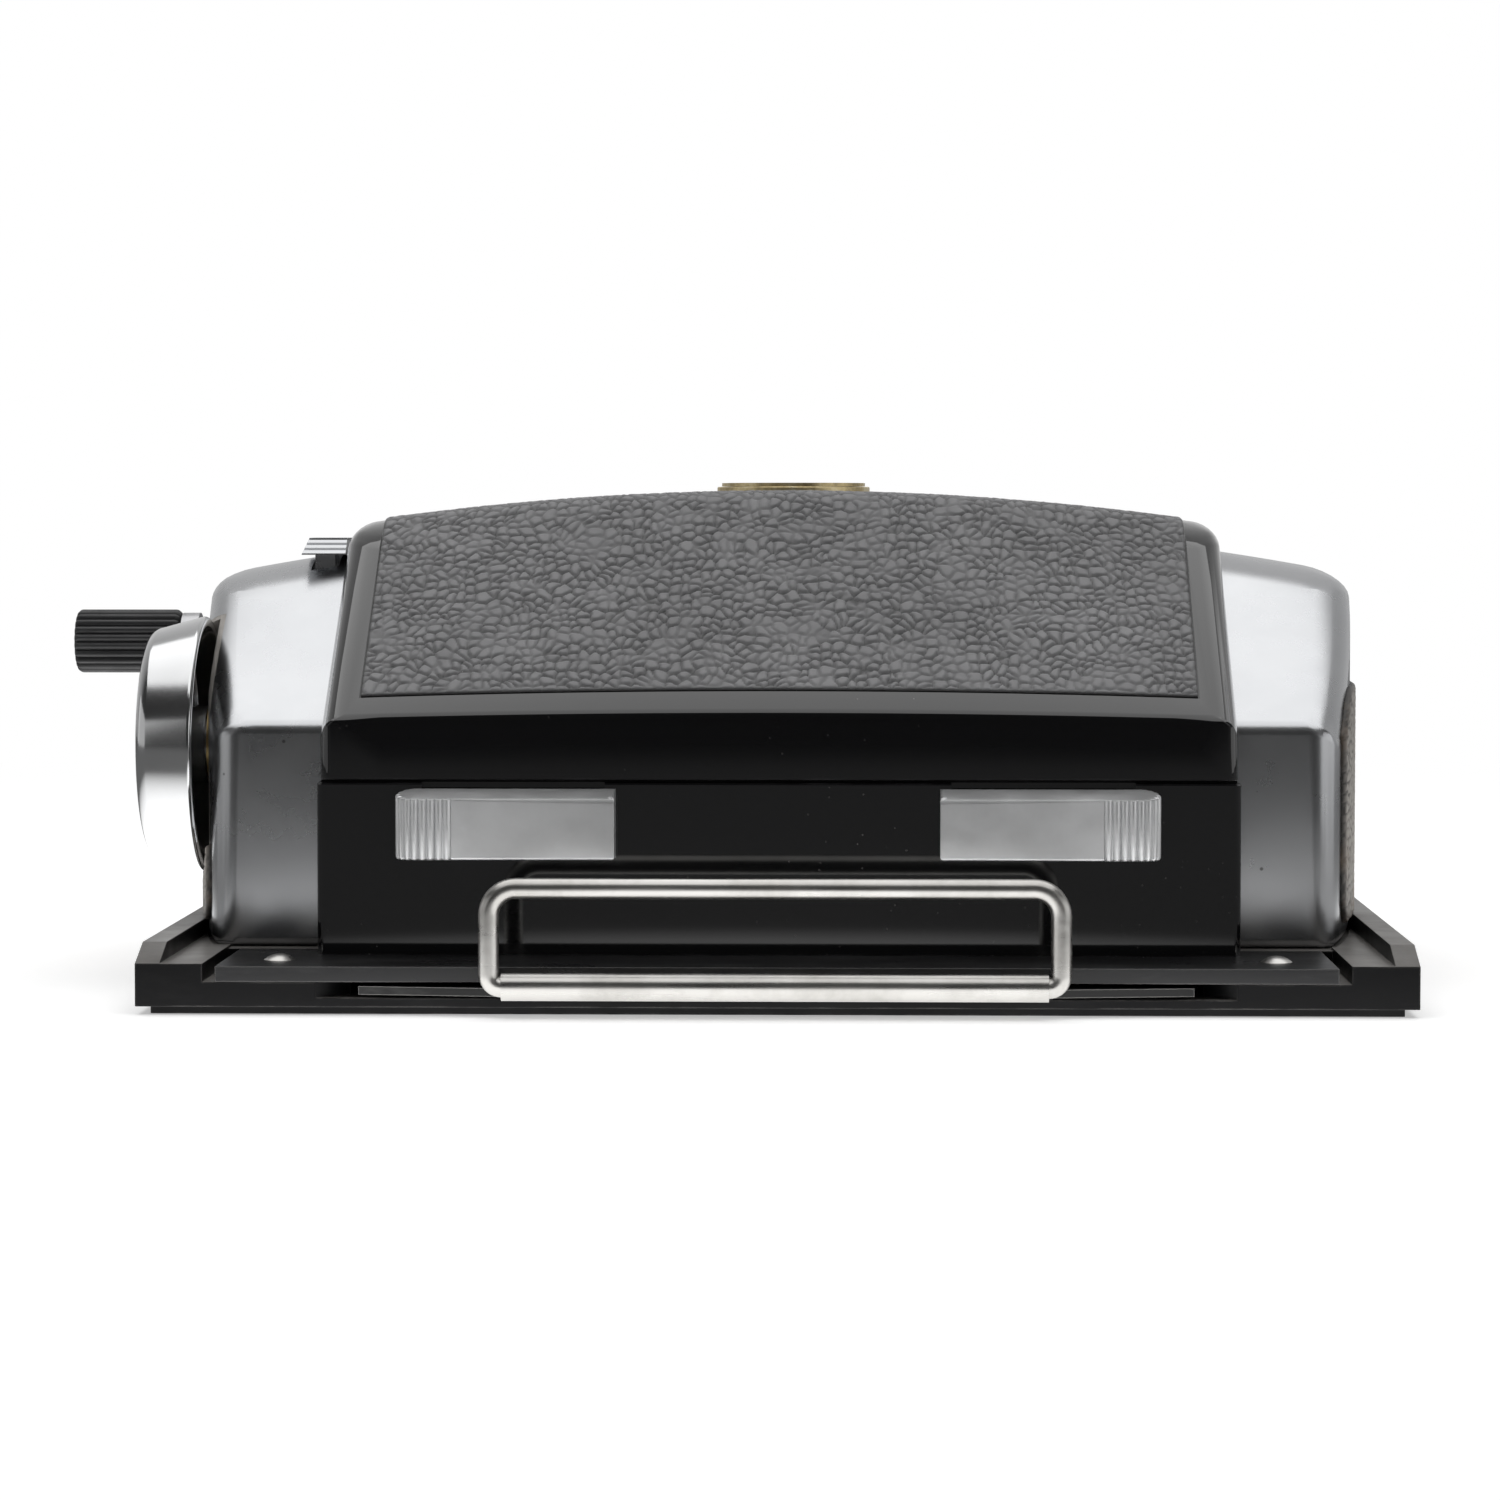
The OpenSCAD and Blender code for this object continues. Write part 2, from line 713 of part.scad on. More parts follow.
module crank_arm() {
    x = [-arm_x0 - arm_t, -arm_x0];
    color("#9c9d9f") translate([0, -spool_y, spool_z]) rotate([crank_a, 0, 0]) difference() {
        union() {
            rod_x(7, x, 0, 0);
            block(x, [0, crank_r], [-arm_half, arm_half]);
            rod_x(arm_half, x, crank_r, 0);
        }
        rod_x(boss_r, [-arm_x0 - 5, 1 - arm_x0], 0, 0);
        rod_x(crank_pin_r, [-arm_x0 - 5, 1 - arm_x0], crank_r, 0);
    }
}

module crank_pin() {
    end = knob_x0 + knob_l - 1.2;
    color("#8f9092") {
        rod_x(crank_pin_r, [-end, -arm_x0], crank_y, crank_z);
        rod_x(2.1, [-end - 0.8, -end], crank_y, crank_z);
    }
}

module crank_knob() {
    x0 = -knob_x0 - knob_l;
    ribs = 20;
    groove_r = 0.28;
    color("#1b1b1c") difference() {
        rod_x(knob_r, [x0, -knob_x0], crank_y, crank_z);
        rod_x(crank_pin_r + running, [x0 - 1, 1 - knob_x0], crank_y, crank_z);
        rod_x(2.3, [x0 - 1, x0 + 1.4], crank_y, crank_z);
        for (i = [0 : ribs - 1]) let (a = i * 360 / ribs)
            rod_x(groove_r, [x0 - 1, 1 - knob_x0], crank_y + knob_r * cos(a), crank_z + knob_r * sin(a));
    }
}

module cup_screw() {
    color("#8f9092") difference() {
        rod_x(3.4, [-cup_x1 - 0.9, -cup_x1], -spool_y, spool_z);
        block([-cup_x1 - 1, -cup_x1 - 0.4], [-spool_y - 4, 4 - spool_y], [spool_z - 0.4, spool_z + 0.4]);
    }
}

module wind_shaft() {
    color("#9a9b9d") {
        rod_x(shaft_r, [-cup_x1, -37], -spool_y, spool_z);
        rod_x(key_r, [-37.1, -31], -spool_y, spool_z);
        block([-34.4, -31.2], [-spool_y - 4.2, 4.2 - spool_y], [spool_z - 0.7, spool_z + 0.7]);
    }
}

module shaft_bushes() {
    color("#b08d4a") for (x = [[-58.7, -56.6], [-47.6, -side_plate_x]]) difference() {
        rod_x(bush_r, x, -spool_y, spool_z);
        rod_x(shaft_r + running, [x[0] - 1, x[1] + 1], -spool_y, spool_z);
    }
}

// ---- gear train and counter ----

module wind_gear() {
    color("#b08d4a") gear(wind_teeth, train_a1, [-50, -48.2], -spool_y, spool_z, shaft_r);
}

module compound_gear() {
    color("#b08d4a") {
        gear(wheel_teeth, train_a1 + 180 + 180 / wheel_teeth, [-50, -48.2], wheel_y, wheel_z,
             axle_r + running);
        gear(pinion_teeth, train_a2, [-53.6, -49.9], wheel_y, wheel_z, axle_r + running);
    }
}

module counter_gear() {
    color("#b08d4a") {
        gear(counter_teeth, train_a2 + 180 + 180 / counter_teeth, [-53.4, -51.6], counter_y, counter_z,
             axle_r + running);
        difference() {
            rod_x(3, [-54.6, -53.3], counter_y, counter_z);
            rod_x(axle_r + running, [-56, -52], counter_y, counter_z);
        }
    }
}

module counter_dial() {
    color("#e8e6df") difference() {
        rod_x(13, [-55.4, -54.6], counter_y, counter_z);
        rod_x(axle_r + running, [-56, -54], counter_y, counter_z);
    }
}

module gear_axles() {
    color("#8f9092") {
        rod_x(axle_r, [-54.4, -side_plate_x], wheel_y, wheel_z);
        rod_x(axle_r, [-56, -side_plate_x], counter_y, counter_z);
    }
}

module counter_window() {
    color("#d8dde0") rod_x(window_r, [-59.3 - left_wider, -57.9 - left_wider], counter_y,
                           counter_z + window_up);
}

// ---- release tab ----

module release_tab() {
    seat = 43.75;
    groove = 0.35;
    color("#bfc0c2") {
        difference() {
            block(tab_x, tab_y, [seat, tab_z1]);
            for (i = [1 : 4]) let (y = tab_y[0] + i * (tab_y[1] - tab_y[0]) / 5)
                block([tab_x[0] - 1, tab_x[1] + 1], [y - groove, y + groove], [tab_z1 - 0.7, tab_z1 + 1]);
            along_y([tab_y[0] - 1, tab_y[1] + 1])
                polygon([[tab_x[0] - 1, tab_z1 + 1], [tab_x[0] + 0.6, tab_z1 + 1],
                         [tab_x[0] - 1, seat]]);
        }
        block([-49.2, -47.1], [tab_y[0] + 2, tab_y[1] - 2], [39, seat + 0.1]);
    }
}

module release_tab_spring() {
    color("#9fa1a3") block([-48.4, -48.1], [tab_y[1] - 1.9, tab_y[1] + 6], [39.4, 40.4]);
}

// ---- film path ----

module film_carrier() {
    color("#3a3a3c") difference() {
        union() {
            both_sides() along_x([carrier_x, carrier_x + carrier_t])
                polygon([[-40.6, seat_z], [40.6, seat_z], [40.6, 14], [34, 22], [34, 30], [28, 34],
                         [-28, 34], [-34, 30], [-34, 22], [-40.6, 14]]);
            block([-carrier_x - 0.1, carrier_x + 0.1], [-18, 18], [bridge_z, bridge_z + 0.8]);
        }
        rod_x(4.6, [-carrier_x - 3, 1 - carrier_x], -spool_y, spool_z);
        rod_x(pin_r, [-carrier_x - 3, 1 - carrier_x], spool_y, spool_z);
        for (y = [-spool_y, spool_y]) rod_x(bore_r, [carrier_x - 1, carrier_x + 3], y, spool_z);
        for (y = [-roller_y, roller_y]) rod_x(roller_axle_r, [-40, 40], y, roller_z);
    }
}

module guide_roller(y) {
    color("#a9aaac") difference() {
        rod_x(roller_r, [-31.5, 31.5], y, roller_z);
        rod_x(roller_axle_r + running, [-32, 32], y, roller_z);
    }
}

module front_guide_roller() {
    guide_roller(-roller_y);
}

module rear_guide_roller() {
    guide_roller(roller_y);
}

module roller_axles() {
    end = carrier_x + carrier_t;
    color("#8f9092") for (y = [-roller_y, roller_y]) rod_x(roller_axle_r, [-end, end], y, roller_z);
}

module pressure_plate() {
    color("#2b2b2d") block([-31.5, 31.5], [-34.5, 34.5], [press_z0, press_z1]);
}

module pressure_springs() {
    rise = bridge_z - press_z1;
    color("#9fa1a3") for (x = [-18, 18]) translate([x - 4, 0, press_z1])
        rotate([90, 0, 90]) linear_extrude(8) leaf(26, rise, 0.3);
}

// A spool: core, two flanges and a bore. The keyed end has a slot across it
module spool(y, keyed) {
    end = spool_l / 2;
    color("#1f1f20") difference() {
        union() {
            rod_x(6, [-end, end], y, spool_z);
            rod_x(flange_r, [-end, 1.3 - end], y, spool_z);
            rod_x(flange_r, [end - 1.3, end], y, spool_z);
        }
        rod_x(bore_r, [-end - 1, end + 1], y, spool_z);
        if (keyed) {
            block([-end - 1, 2.6 - end], [y - 4.5, y + 4.5], [spool_z - 0.9, spool_z + 0.9]);
        }
    }
}

module take_up_spool() {
    spool(-spool_y, true);
}

module supply_spool() {
    spool(spool_y, false);
}

// A spool pin with a head that its spring pushes against
module spool_pin(y) {
    color("#9a9b9d") {
        rod_x(pin_r, [spool_l / 2 - 3, pin_head_x + 0.1], y, spool_z);
        rod_x(4, [pin_head_x, pin_head_x + 1.5], y, spool_z);
    }
}

module take_up_pin() {
    spool_pin(-spool_y);
}

module supply_pin() {
    spool_pin(spool_y);
}

module spool_pin_springs() {
    x = pin_head_x + 1.5;
    color("#9fa1a3") for (y = [-spool_y, spool_y])
        translate([x, y - 4, spool_z]) rotate([0, 0, 90]) mirror([0, 1, 0])
            translate([4, 0, -1.5]) linear_extrude(3) mirror([0, 1]) translate([0, -4.4]) leaf(16, 4.4, 0.3);
}

module supply_brake_pin() {
    color("#9a9b9d") {
        rod_x(pin_r, [-side_plate_x - side_plate_t, 3 - spool_l / 2], spool_y, spool_z);
        rod_x(4, [-side_plate_x - side_plate_t - 1.2, -side_plate_x - side_plate_t], spool_y, spool_z);
    }
}

mount_frame();
slide_guide_plate();
guide_plate_screws();
slide_light_trap();
frame_screws();
dark_slide();
slide_bail();
body_shell();
body_light_seal();
left_end_casing();
right_end_casing();
left_end_leather();
right_end_leather();
gear_plate();
right_side_plate();
back_cover();
cover_leather();
cover_catches();
cover_hinge_pin();
memo_dial_base();
memo_dial();
left_latch_lever();
right_latch_lever();
latch_springs();
crank_cup();
crank_arm();
crank_pin();
crank_knob();
cup_screw();
wind_shaft();
shaft_bushes();
wind_gear();
compound_gear();
counter_gear();
counter_dial();
gear_axles();
counter_window();
release_tab();
release_tab_spring();
film_carrier();
front_guide_roller();
rear_guide_roller();
roller_axles();
pressure_plate();
pressure_springs();
take_up_spool();
supply_spool();
take_up_pin();
supply_pin();
spool_pin_springs();
supply_brake_pin();
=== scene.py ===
import json
import math

import bmesh
import bpy
import numpy as np
from mathutils import Matrix, Vector

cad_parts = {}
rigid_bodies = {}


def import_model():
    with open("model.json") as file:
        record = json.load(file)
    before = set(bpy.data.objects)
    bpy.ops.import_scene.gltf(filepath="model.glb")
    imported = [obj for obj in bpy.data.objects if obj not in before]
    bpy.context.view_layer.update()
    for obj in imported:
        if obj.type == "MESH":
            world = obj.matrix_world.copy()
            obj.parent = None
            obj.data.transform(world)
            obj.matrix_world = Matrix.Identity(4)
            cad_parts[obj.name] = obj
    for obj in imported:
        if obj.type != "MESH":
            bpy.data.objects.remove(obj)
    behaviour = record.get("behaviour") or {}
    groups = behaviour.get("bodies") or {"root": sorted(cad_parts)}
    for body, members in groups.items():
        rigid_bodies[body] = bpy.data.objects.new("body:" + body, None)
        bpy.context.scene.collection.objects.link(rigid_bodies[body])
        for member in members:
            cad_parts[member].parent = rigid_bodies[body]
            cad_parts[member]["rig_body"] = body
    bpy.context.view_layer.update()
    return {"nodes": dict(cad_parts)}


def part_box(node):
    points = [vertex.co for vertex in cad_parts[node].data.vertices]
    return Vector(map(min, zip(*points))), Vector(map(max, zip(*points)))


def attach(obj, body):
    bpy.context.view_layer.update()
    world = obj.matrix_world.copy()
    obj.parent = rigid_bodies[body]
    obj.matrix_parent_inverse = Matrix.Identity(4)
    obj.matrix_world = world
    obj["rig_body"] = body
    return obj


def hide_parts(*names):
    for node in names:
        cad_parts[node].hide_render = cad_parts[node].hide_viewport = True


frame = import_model()

MM = 0.001
TINY = 1e-6
SEED = 7

# ---------------------------------------------------------------- places from the frame


def span(node):
    """A CAD node's lowest and highest corners in millimetres."""
    lo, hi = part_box(node)
    return lo / MM, hi / MM


COVER_LO, COVER_HI = span("back_cover")
BODY_LO, BODY_HI = span("body_shell")
CASING_LO, CASING_HI = span("right_end_casing")
CUP_LO, CUP_HI = span("crank_cup")
KNOB_LO, KNOB_HI = span("crank_knob")
BAIL_LO, BAIL_HI = span("slide_bail")
SLIDE_LO, _ = span("dark_slide")
LEVER_LO, LEVER_HI = span("right_latch_lever")
LEVER_Z0 = 14.3
WELL_R = (CUP_HI.z - CUP_LO.z) / 2 + 0.5
WELL_X = -CUP_HI.x - 0.5

# Forms that the cover and the casings share, in millimetres
SLOPE = math.radians(40)
ARCH_R = 306.0
RIDGE_R = 5.0
COVER_HALF_X = COVER_HI.x
COVER_HALF_Y = -COVER_LO.y
COVER_Z0 = 22.0
COVER_SHOULDER = 28.6
COVER_CROWN = span("cover_leather")[1].z - 0.3
CASING_HALF_Y = CASING_HI.y
CASING_X0 = CASING_LO.x
CASING_X1 = 55.5
CASING_BULGE = CASING_HI.x - CASING_X1
LEFT_WIDER = -span("left_end_casing")[0].x - CASING_HI.x
CASING_SHOULDER = 27.0
CASING_CROWN = 47.5
SEAT_Z = CASING_LO.z
LEATHER_X = 41.25
LEATHER_Z = 30.75

# ---------------------------------------------------------------- node materials


INPUTS = {"color": "Base Color", "metallic": "Metallic", "rough": "Roughness", "ior": "IOR",
          "spec": "Specular IOR Level", "coat": "Coat Weight", "coat_rough": "Coat Roughness",
          "coat_ior": "Coat IOR", "sheen": "Sheen Weight", "sheen_rough": "Sheen Roughness",
          "transmission": "Transmission Weight"}


def add_node(tree, kind, inputs=(), **settings):
    """A shader node with its own settings. inputs gives a value or another node's output to each of
    its sockets, by name or by number."""
    node = tree.nodes.new("ShaderNode" + kind)
    for key, value in settings.items():
        setattr(node, key, value)
    for key, value in dict(inputs).items():
        if isinstance(value, bpy.types.NodeSocket):
            tree.links.new(value, node.inputs[key])
        else:
            node.inputs[key].default_value = value
    return node


def color_ramp(tree, fac, stops):
    """A ramp through (place, grey or colour) stops."""
    node = add_node(tree, "ValToRGB", {"Fac": fac})
    elements = node.color_ramp.elements
    while len(elements) < len(stops):
        elements.new(0.5)
    for element, (place, color) in zip(elements, stops):
        element.position = place
        element.color = (*(color if isinstance(color, tuple) else (color,) * 3), 1.0)
    return node.outputs["Color"]


class Nodes:
    """A material's node tree, with short calls for the nodes that this file uses."""

    def __init__(self, name, **values):
        self.mat = bpy.data.materials.new(name)
        self.mat.use_nodes = True
        self.tree = self.mat.node_tree
        self.tree.nodes.clear()
        self.out = self.add("OutputMaterial")
        self.bsdf = self.add("BsdfPrincipled")
        self.link(self.bsdf.outputs["BSDF"], self.out.inputs["Surface"])
        self.coord = self.add("TexCoord").outputs["Object"]
        for key, value in values.items():
            value = (*value, 1.0) if key == "color" else value
            self.bsdf.inputs[INPUTS[key]].default_value = value

    def add(self, kind, inputs=(), **settings):
        return add_node(self.tree, kind, inputs, **settings)

    def link(self, a, b):
        self.tree.links.new(a, b)

    def mapped(self, scale):
        return self.add("Mapping", {"Scale": scale, "Vector": self.coord}).outputs["Vector"]

    def noise(self, scale, detail=4, rough=0.5, stretch=(1, 1, 1)):
        return self.add("TexNoise", {"Scale": scale, "Detail": detail, "Roughness": rough,
                                     "Vector": self.mapped(stretch)}).outputs["Fac"]

    def cells(self, scale):
        place = self.mapped((1, 1, 1))
        return self.add("TexVoronoi", {"Scale": scale, "Vector": place}).outputs["Distance"]

    def ramp(self, fac, *stops):
        return color_ramp(self.tree, fac, stops)

    def times(self, a, b):
        node = self.add("Math", {0: a, 1: b}, operation="MULTIPLY", use_clamp=True)
        return node.outputs["Value"]

    def mix(self, fac, a, b, blend="MIX"):
        a, b = ((*color, 1.0) if isinstance(color, tuple) else color for color in (a, b))
        return self.add("Mix", {0: fac, 6: a, 7: b}, data_type="RGBA", blend_type=blend).outputs[2]

    def attribute(self, name):
        return self.add("Attribute", attribute_name=name).outputs["Fac"]

    def worn_edges(self, radius, low, high):
        """1 along sharp edges, 0 elsewhere: where a rounded normal leaves the true one."""
        rounded = self.add("Bevel", {"Radius": radius}, samples=4).outputs["Normal"]
        true = self.add("NewGeometry").outputs["Normal"]
        dot = self.add("VectorMath", {0: rounded, 1: true}, operation="DOT_PRODUCT")
        return self.ramp(dot.outputs["Value"], (low, 1.0), (high, 0.0))

    def facing_up(self):
        """1 on faces that look up in the object's own frame."""
        split = self.add("SeparateXYZ", {0: self.add("TexCoord").outputs["Normal"]})
        return self.ramp(split.outputs["Z"], (0.6, 0.0), (0.95, 1.0))

    def bump(self, height, distance, strength):
        inputs = {"Distance": distance, "Strength": strength, "Height": height}
        for link in self.bsdf.inputs["Normal"].links:
            inputs["Normal"] = link.from_socket
        self.link(self.add("Bump", inputs).outputs["Normal"], self.bsdf.inputs["Normal"])

    def color(self, socket):
        self.link(socket, self.bsdf.inputs["Base Color"])

    def rough(self, socket):
        self.link(socket, self.bsdf.inputs["Roughness"])


def black_enamel():
    """Gloss enamel on the body and the cover: faint orange peel, dust and hairline rubs."""
    n = Nodes("black_enamel", color=(0.004, 0.004, 0.0045), rough=0.2, ior=1.5, spec=0.05,
              coat=1.0, coat_rough=0.05, coat_ior=1.65)
    dust = n.ramp(n.cells(800), (0.05, 1.0), (0.085, 0.0))
    patch = n.ramp(n.noise(60, 3), (0.5, 0.0), (0.62, 1.0))
    speck = n.times(dust, patch)
    rubbed = n.ramp(n.noise(180, 5), (0.45, 0.0), (0.6, 0.8))
    wear = n.times(n.worn_edges(0.3 * MM, 0.86, 0.97), rubbed)
    base = n.mix(speck, (0.004, 0.004, 0.0045), (0.1, 0.098, 0.095))
    n.color(n.mix(wear, base, (0.04, 0.04, 0.042)))
    n.rough(n.ramp(n.noise(45, 6, 0.6), (0.3, 0.14), (0.75, 0.3)))
    n.bump(n.noise(700, 2), 0.01 * MM, 0.25)
    return n.mat


def frame_black():
    """Satin black frame: dusty on top, polished and scuffed where it slides in the camera."""
    n = Nodes("frame_black", color=(0.01, 0.01, 0.011), rough=0.34, ior=1.45, spec=0.22)
    scuff = n.ramp(n.noise(220, 6, 0.7, stretch=(0.25, 1, 1)), (0.52, 0.0), (0.72, 1.0))
    rubbed = n.ramp(n.noise(300, 5), (0.4, 0.1), (0.62, 1.0))
    edge = n.times(n.worn_edges(0.25 * MM, 0.84, 0.96), rubbed)
    base = n.mix(scuff, (0.003, 0.003, 0.0035), (0.009, 0.009, 0.0095))
    dust = n.times(n.facing_up(), n.ramp(n.noise(150, 5, 0.65), (0.2, 0.5), (0.7, 1.0)))
    dusted = n.mix(dust, base, (0.21, 0.2, 0.19))
    n.color(n.mix(edge, dusted, (0.14, 0.135, 0.13)))
    n.rough(n.ramp(n.noise(90, 6, 0.65), (0.3, 0.28), (0.75, 0.5)))
    n.bump(n.noise(1500, 3), 0.012 * MM, 0.3)
    return n.mat


def plate_black():
    """The guide plate's finer black anodising, with bright rubs along its edges."""
    n = Nodes("plate_black", color=(0.012, 0.012, 0.013), rough=0.3, ior=1.5, spec=0.5)
    scuff = n.ramp(n.noise(260, 6, 0.7, stretch=(0.2, 1, 1)), (0.5, 0.0), (0.7, 1.0))
    n.color(n.mix(n.worn_edges(0.2 * MM, 0.84, 0.96),
                  n.mix(scuff, (0.011, 0.011, 0.012), (0.03, 0.03, 0.031)), (0.2, 0.195, 0.19)))
    n.rough(n.ramp(n.noise(90, 6, 0.65), (0.3, 0.24), (0.75, 0.42)))
    n.bump(n.noise(1500, 3), 0.01 * MM, 0.3)
    return n.mat


def satin_chrome(name, dark, light, rough):
    """Bead-blasted chrome: fine tooth, faint clouding and dirt specks."""
    n = Nodes(name, color=light, metallic=1.0, rough=rough)
    cloud = n.ramp(n.noise(38, 5, 0.6), (0.3, dark), (0.72, light))
    pit = n.ramp(n.cells(330), (0.045, 1.0), (0.075, 0.0))
    marks = n.times(pit, n.ramp(n.noise(60, 2), (0.5, 0.0), (0.62, 0.9)))
    n.color(n.mix(marks, cloud, (0.09, 0.087, 0.084)))
    n.rough(n.ramp(n.noise(55, 6, 0.65), (0.3, rough), (0.75, rough + 0.09)))
    n.bump(n.noise(5000, 2), 0.008 * MM, 0.2)
    return n.mat


def satin_aluminium():
    """Milled and tumbled aluminium of the levers: fine tooth with small dings."""
    n = Nodes("satin_aluminium", color=(0.7, 0.705, 0.71), metallic=0.8, rough=0.42)
    n.color(n.ramp(n.noise(120, 5, 0.6), (0.3, (0.72, 0.725, 0.73)), (0.7, (0.84, 0.845, 0.85))))
    n.rough(n.ramp(n.noise(260, 5, 0.6), (0.3, 0.36), (0.75, 0.5)))
    n.bump(n.noise(2200, 3), 0.014 * MM, 0.5)
    n.bump(n.ramp(n.cells(260), (0.04, 0.0), (0.12, 1.0)), 0.02 * MM, 0.4)
    return n.mat


def drawn_steel():
    """Bright drawn wire and sheet: streaks along X, light tarnish."""
    n = Nodes("drawn_steel", color=(0.72, 0.71, 0.685), metallic=1.0, rough=0.27)
    streak = n.noise(900, 3, 0.6, stretch=(0.05, 1, 1))
    n.color(n.ramp(n.noise(140, 6, 0.65), (0.28, (0.38, 0.37, 0.35)), (0.55, (0.52, 0.51, 0.49))))
    n.rough(n.ramp(streak, (0.3, 0.24), (0.75, 0.4)))
    n.bump(streak, 0.008 * MM, 0.5)
    return n.mat


def slide_black():
    """The dark slide's blade: blackened sheet, bright where its edges have rubbed."""
    n = Nodes("slide_black", color=(0.012, 0.012, 0.012), rough=0.4, metallic=0.3)
    streak = n.ramp(n.noise(500, 4, 0.6, stretch=(0.3, 0.02, 1)), (0.55, 0.0), (0.7, 0.6))
    base = n.mix(streak, (0.01, 0.01, 0.01), (0.06, 0.06, 0.058))
    n.color(n.mix(n.worn_edges(0.12 * MM, 0.8, 0.97), base, (0.5, 0.49, 0.47)))
    n.bump(n.noise(1500, 3), 0.01 * MM, 0.4)
    return n.mat


def machined(name, dark, light, rough):
    """Plain turned or stamped metal of the inner parts."""
    n = Nodes(name, color=light, metallic=1.0, rough=rough)
    n.color(n.ramp(n.noise(160, 5, 0.6), (0.3, dark), (0.7, light)))
    n.rough(n.ramp(n.noise(320, 4, 0.6), (0.3, rough - 0.06), (0.75, rough + 0.1)))
    n.bump(n.noise(1800, 3, stretch=(1, 0.2, 1)), 0.01 * MM, 0.4)
    return n.mat


def leatherette():
    """Pebbled covering of the cover: worn, slightly shiny pebbles, with painted shade darkening the
    creases.
    """
    n = Nodes("leatherette", color=(0.09, 0.09, 0.094), rough=0.5, ior=1.45, sheen=0.12,
              sheen_rough=0.5)
    # Painted shade: the tone goes dark where height is low, in the creases and along the rolled
    # edges; the pebble tops are lighter where worn.
    tone = n.ramp(n.attribute("height"), (0.0, (0.06, 0.06, 0.061)), (0.25, (0.15, 0.15, 0.153)),
                  (0.75, (0.2, 0.2, 0.205)), (1.0, (0.24, 0.24, 0.245)))
    mottled = n.ramp(n.noise(55, 5, 0.6), (0.3, (0.8, 0.8, 0.8)), (0.72, (1.1, 1.1, 1.1)))
    fleck = n.times(n.ramp(n.cells(700), (0.02, 1.0), (0.045, 0.0)),
                   n.ramp(n.noise(45, 2), (0.56, 0.0), (0.66, 1.0)))
    n.color(n.mix(fleck, n.mix(1, tone, mottled, "MULTIPLY"), (0.35, 0.34, 0.33)))
    n.rough(n.ramp(n.noise(400, 4, 0.6), (0.3, 0.42), (0.75, 0.62)))
    n.bump(n.noise(2600, 3, 0.6), 0.03 * MM, 0.5)
    return n.mat


def worn_leather():
    """The end patches: the same covering, pale on the pebbles and brown in places, partly from wear
    and partly as a painted reflection, with the creases darkened partly by dirt and partly as painted
    shade.
    """
    n = Nodes("worn_leather", color=(0.16, 0.15, 0.14), rough=0.55)
    # Painted shade, partly: the tone goes near black in the creases and along the rolled edges,
    # partly dirt.
    tone = n.ramp(n.attribute("height"), (0.0, (0.02, 0.018, 0.016)), (0.45, (0.13, 0.12, 0.11)),
                  (1.0, (0.36, 0.34, 0.31)))
    # Painted reflection, partly: the brown patches and pale pebble tops stand in for light glancing
    # off the leather as well as for wear.
    brown = n.ramp(n.noise(90, 5, 0.6), (0.5, 0.0), (0.7, 0.7))
    n.color(n.mix(brown, tone, (0.2, 0.14, 0.09)))
    n.bump(n.noise(2400, 3, 0.6), 0.03 * MM, 0.5)
    return n.mat


def plastic(name, dark, light, rough):
    n = Nodes(name, color=light, rough=rough)
    n.color(n.ramp(n.noise(170, 5, 0.6), (0.3, dark), (0.72, light)))
    n.rough(n.ramp(n.noise(350, 5, 0.6), (0.3, rough - 0.08), (0.75, rough + 0.12)))
    n.bump(n.noise(1600, 3, 0.6), 0.015 * MM, 0.4)
    return n.mat


def velvet():
    n = Nodes("velvet", color=(0.006, 0.006, 0.006), rough=0.95, sheen=0.4, sheen_rough=0.4)
    n.color(n.ramp(n.noise(1400, 4, 0.7), (0.3, (0.003, 0.003, 0.003)), (0.7, (0.012, 0.012, 0.012))))
    n.bump(n.noise(3000, 3, 0.7), 0.08 * MM, 0.8)
    return n.mat


def gilt():
    """The memo dial's gilt face: mottled, turned and a little tarnished."""
    n = Nodes("gilt", color=(0.55, 0.42, 0.2), metallic=1.0, rough=0.38)
    n.color(n.ramp(n.noise(420, 6, 0.7), (0.36, (0.42, 0.34, 0.2)), (0.5, (0.66, 0.54, 0.3)),
                   (0.68, (0.85, 0.76, 0.54))))
    n.rough(n.ramp(n.noise(300, 5, 0.6), (0.3, 0.3), (0.75, 0.5)))
    n.bump(n.noise(1500, 4, 0.6), 0.02 * MM, 0.5)
    return n.mat


def clear_window():
    n = Nodes("clear_window", color=(0.93, 0.95, 0.96), rough=0.06, ior=1.49, transmission=0.9)
    n.rough(n.ramp(n.noise(400, 4), (0.4, 0.03), (0.8, 0.14)))
    n.bump(n.noise(500, 3), 0.004 * MM, 0.3)
    return n.mat


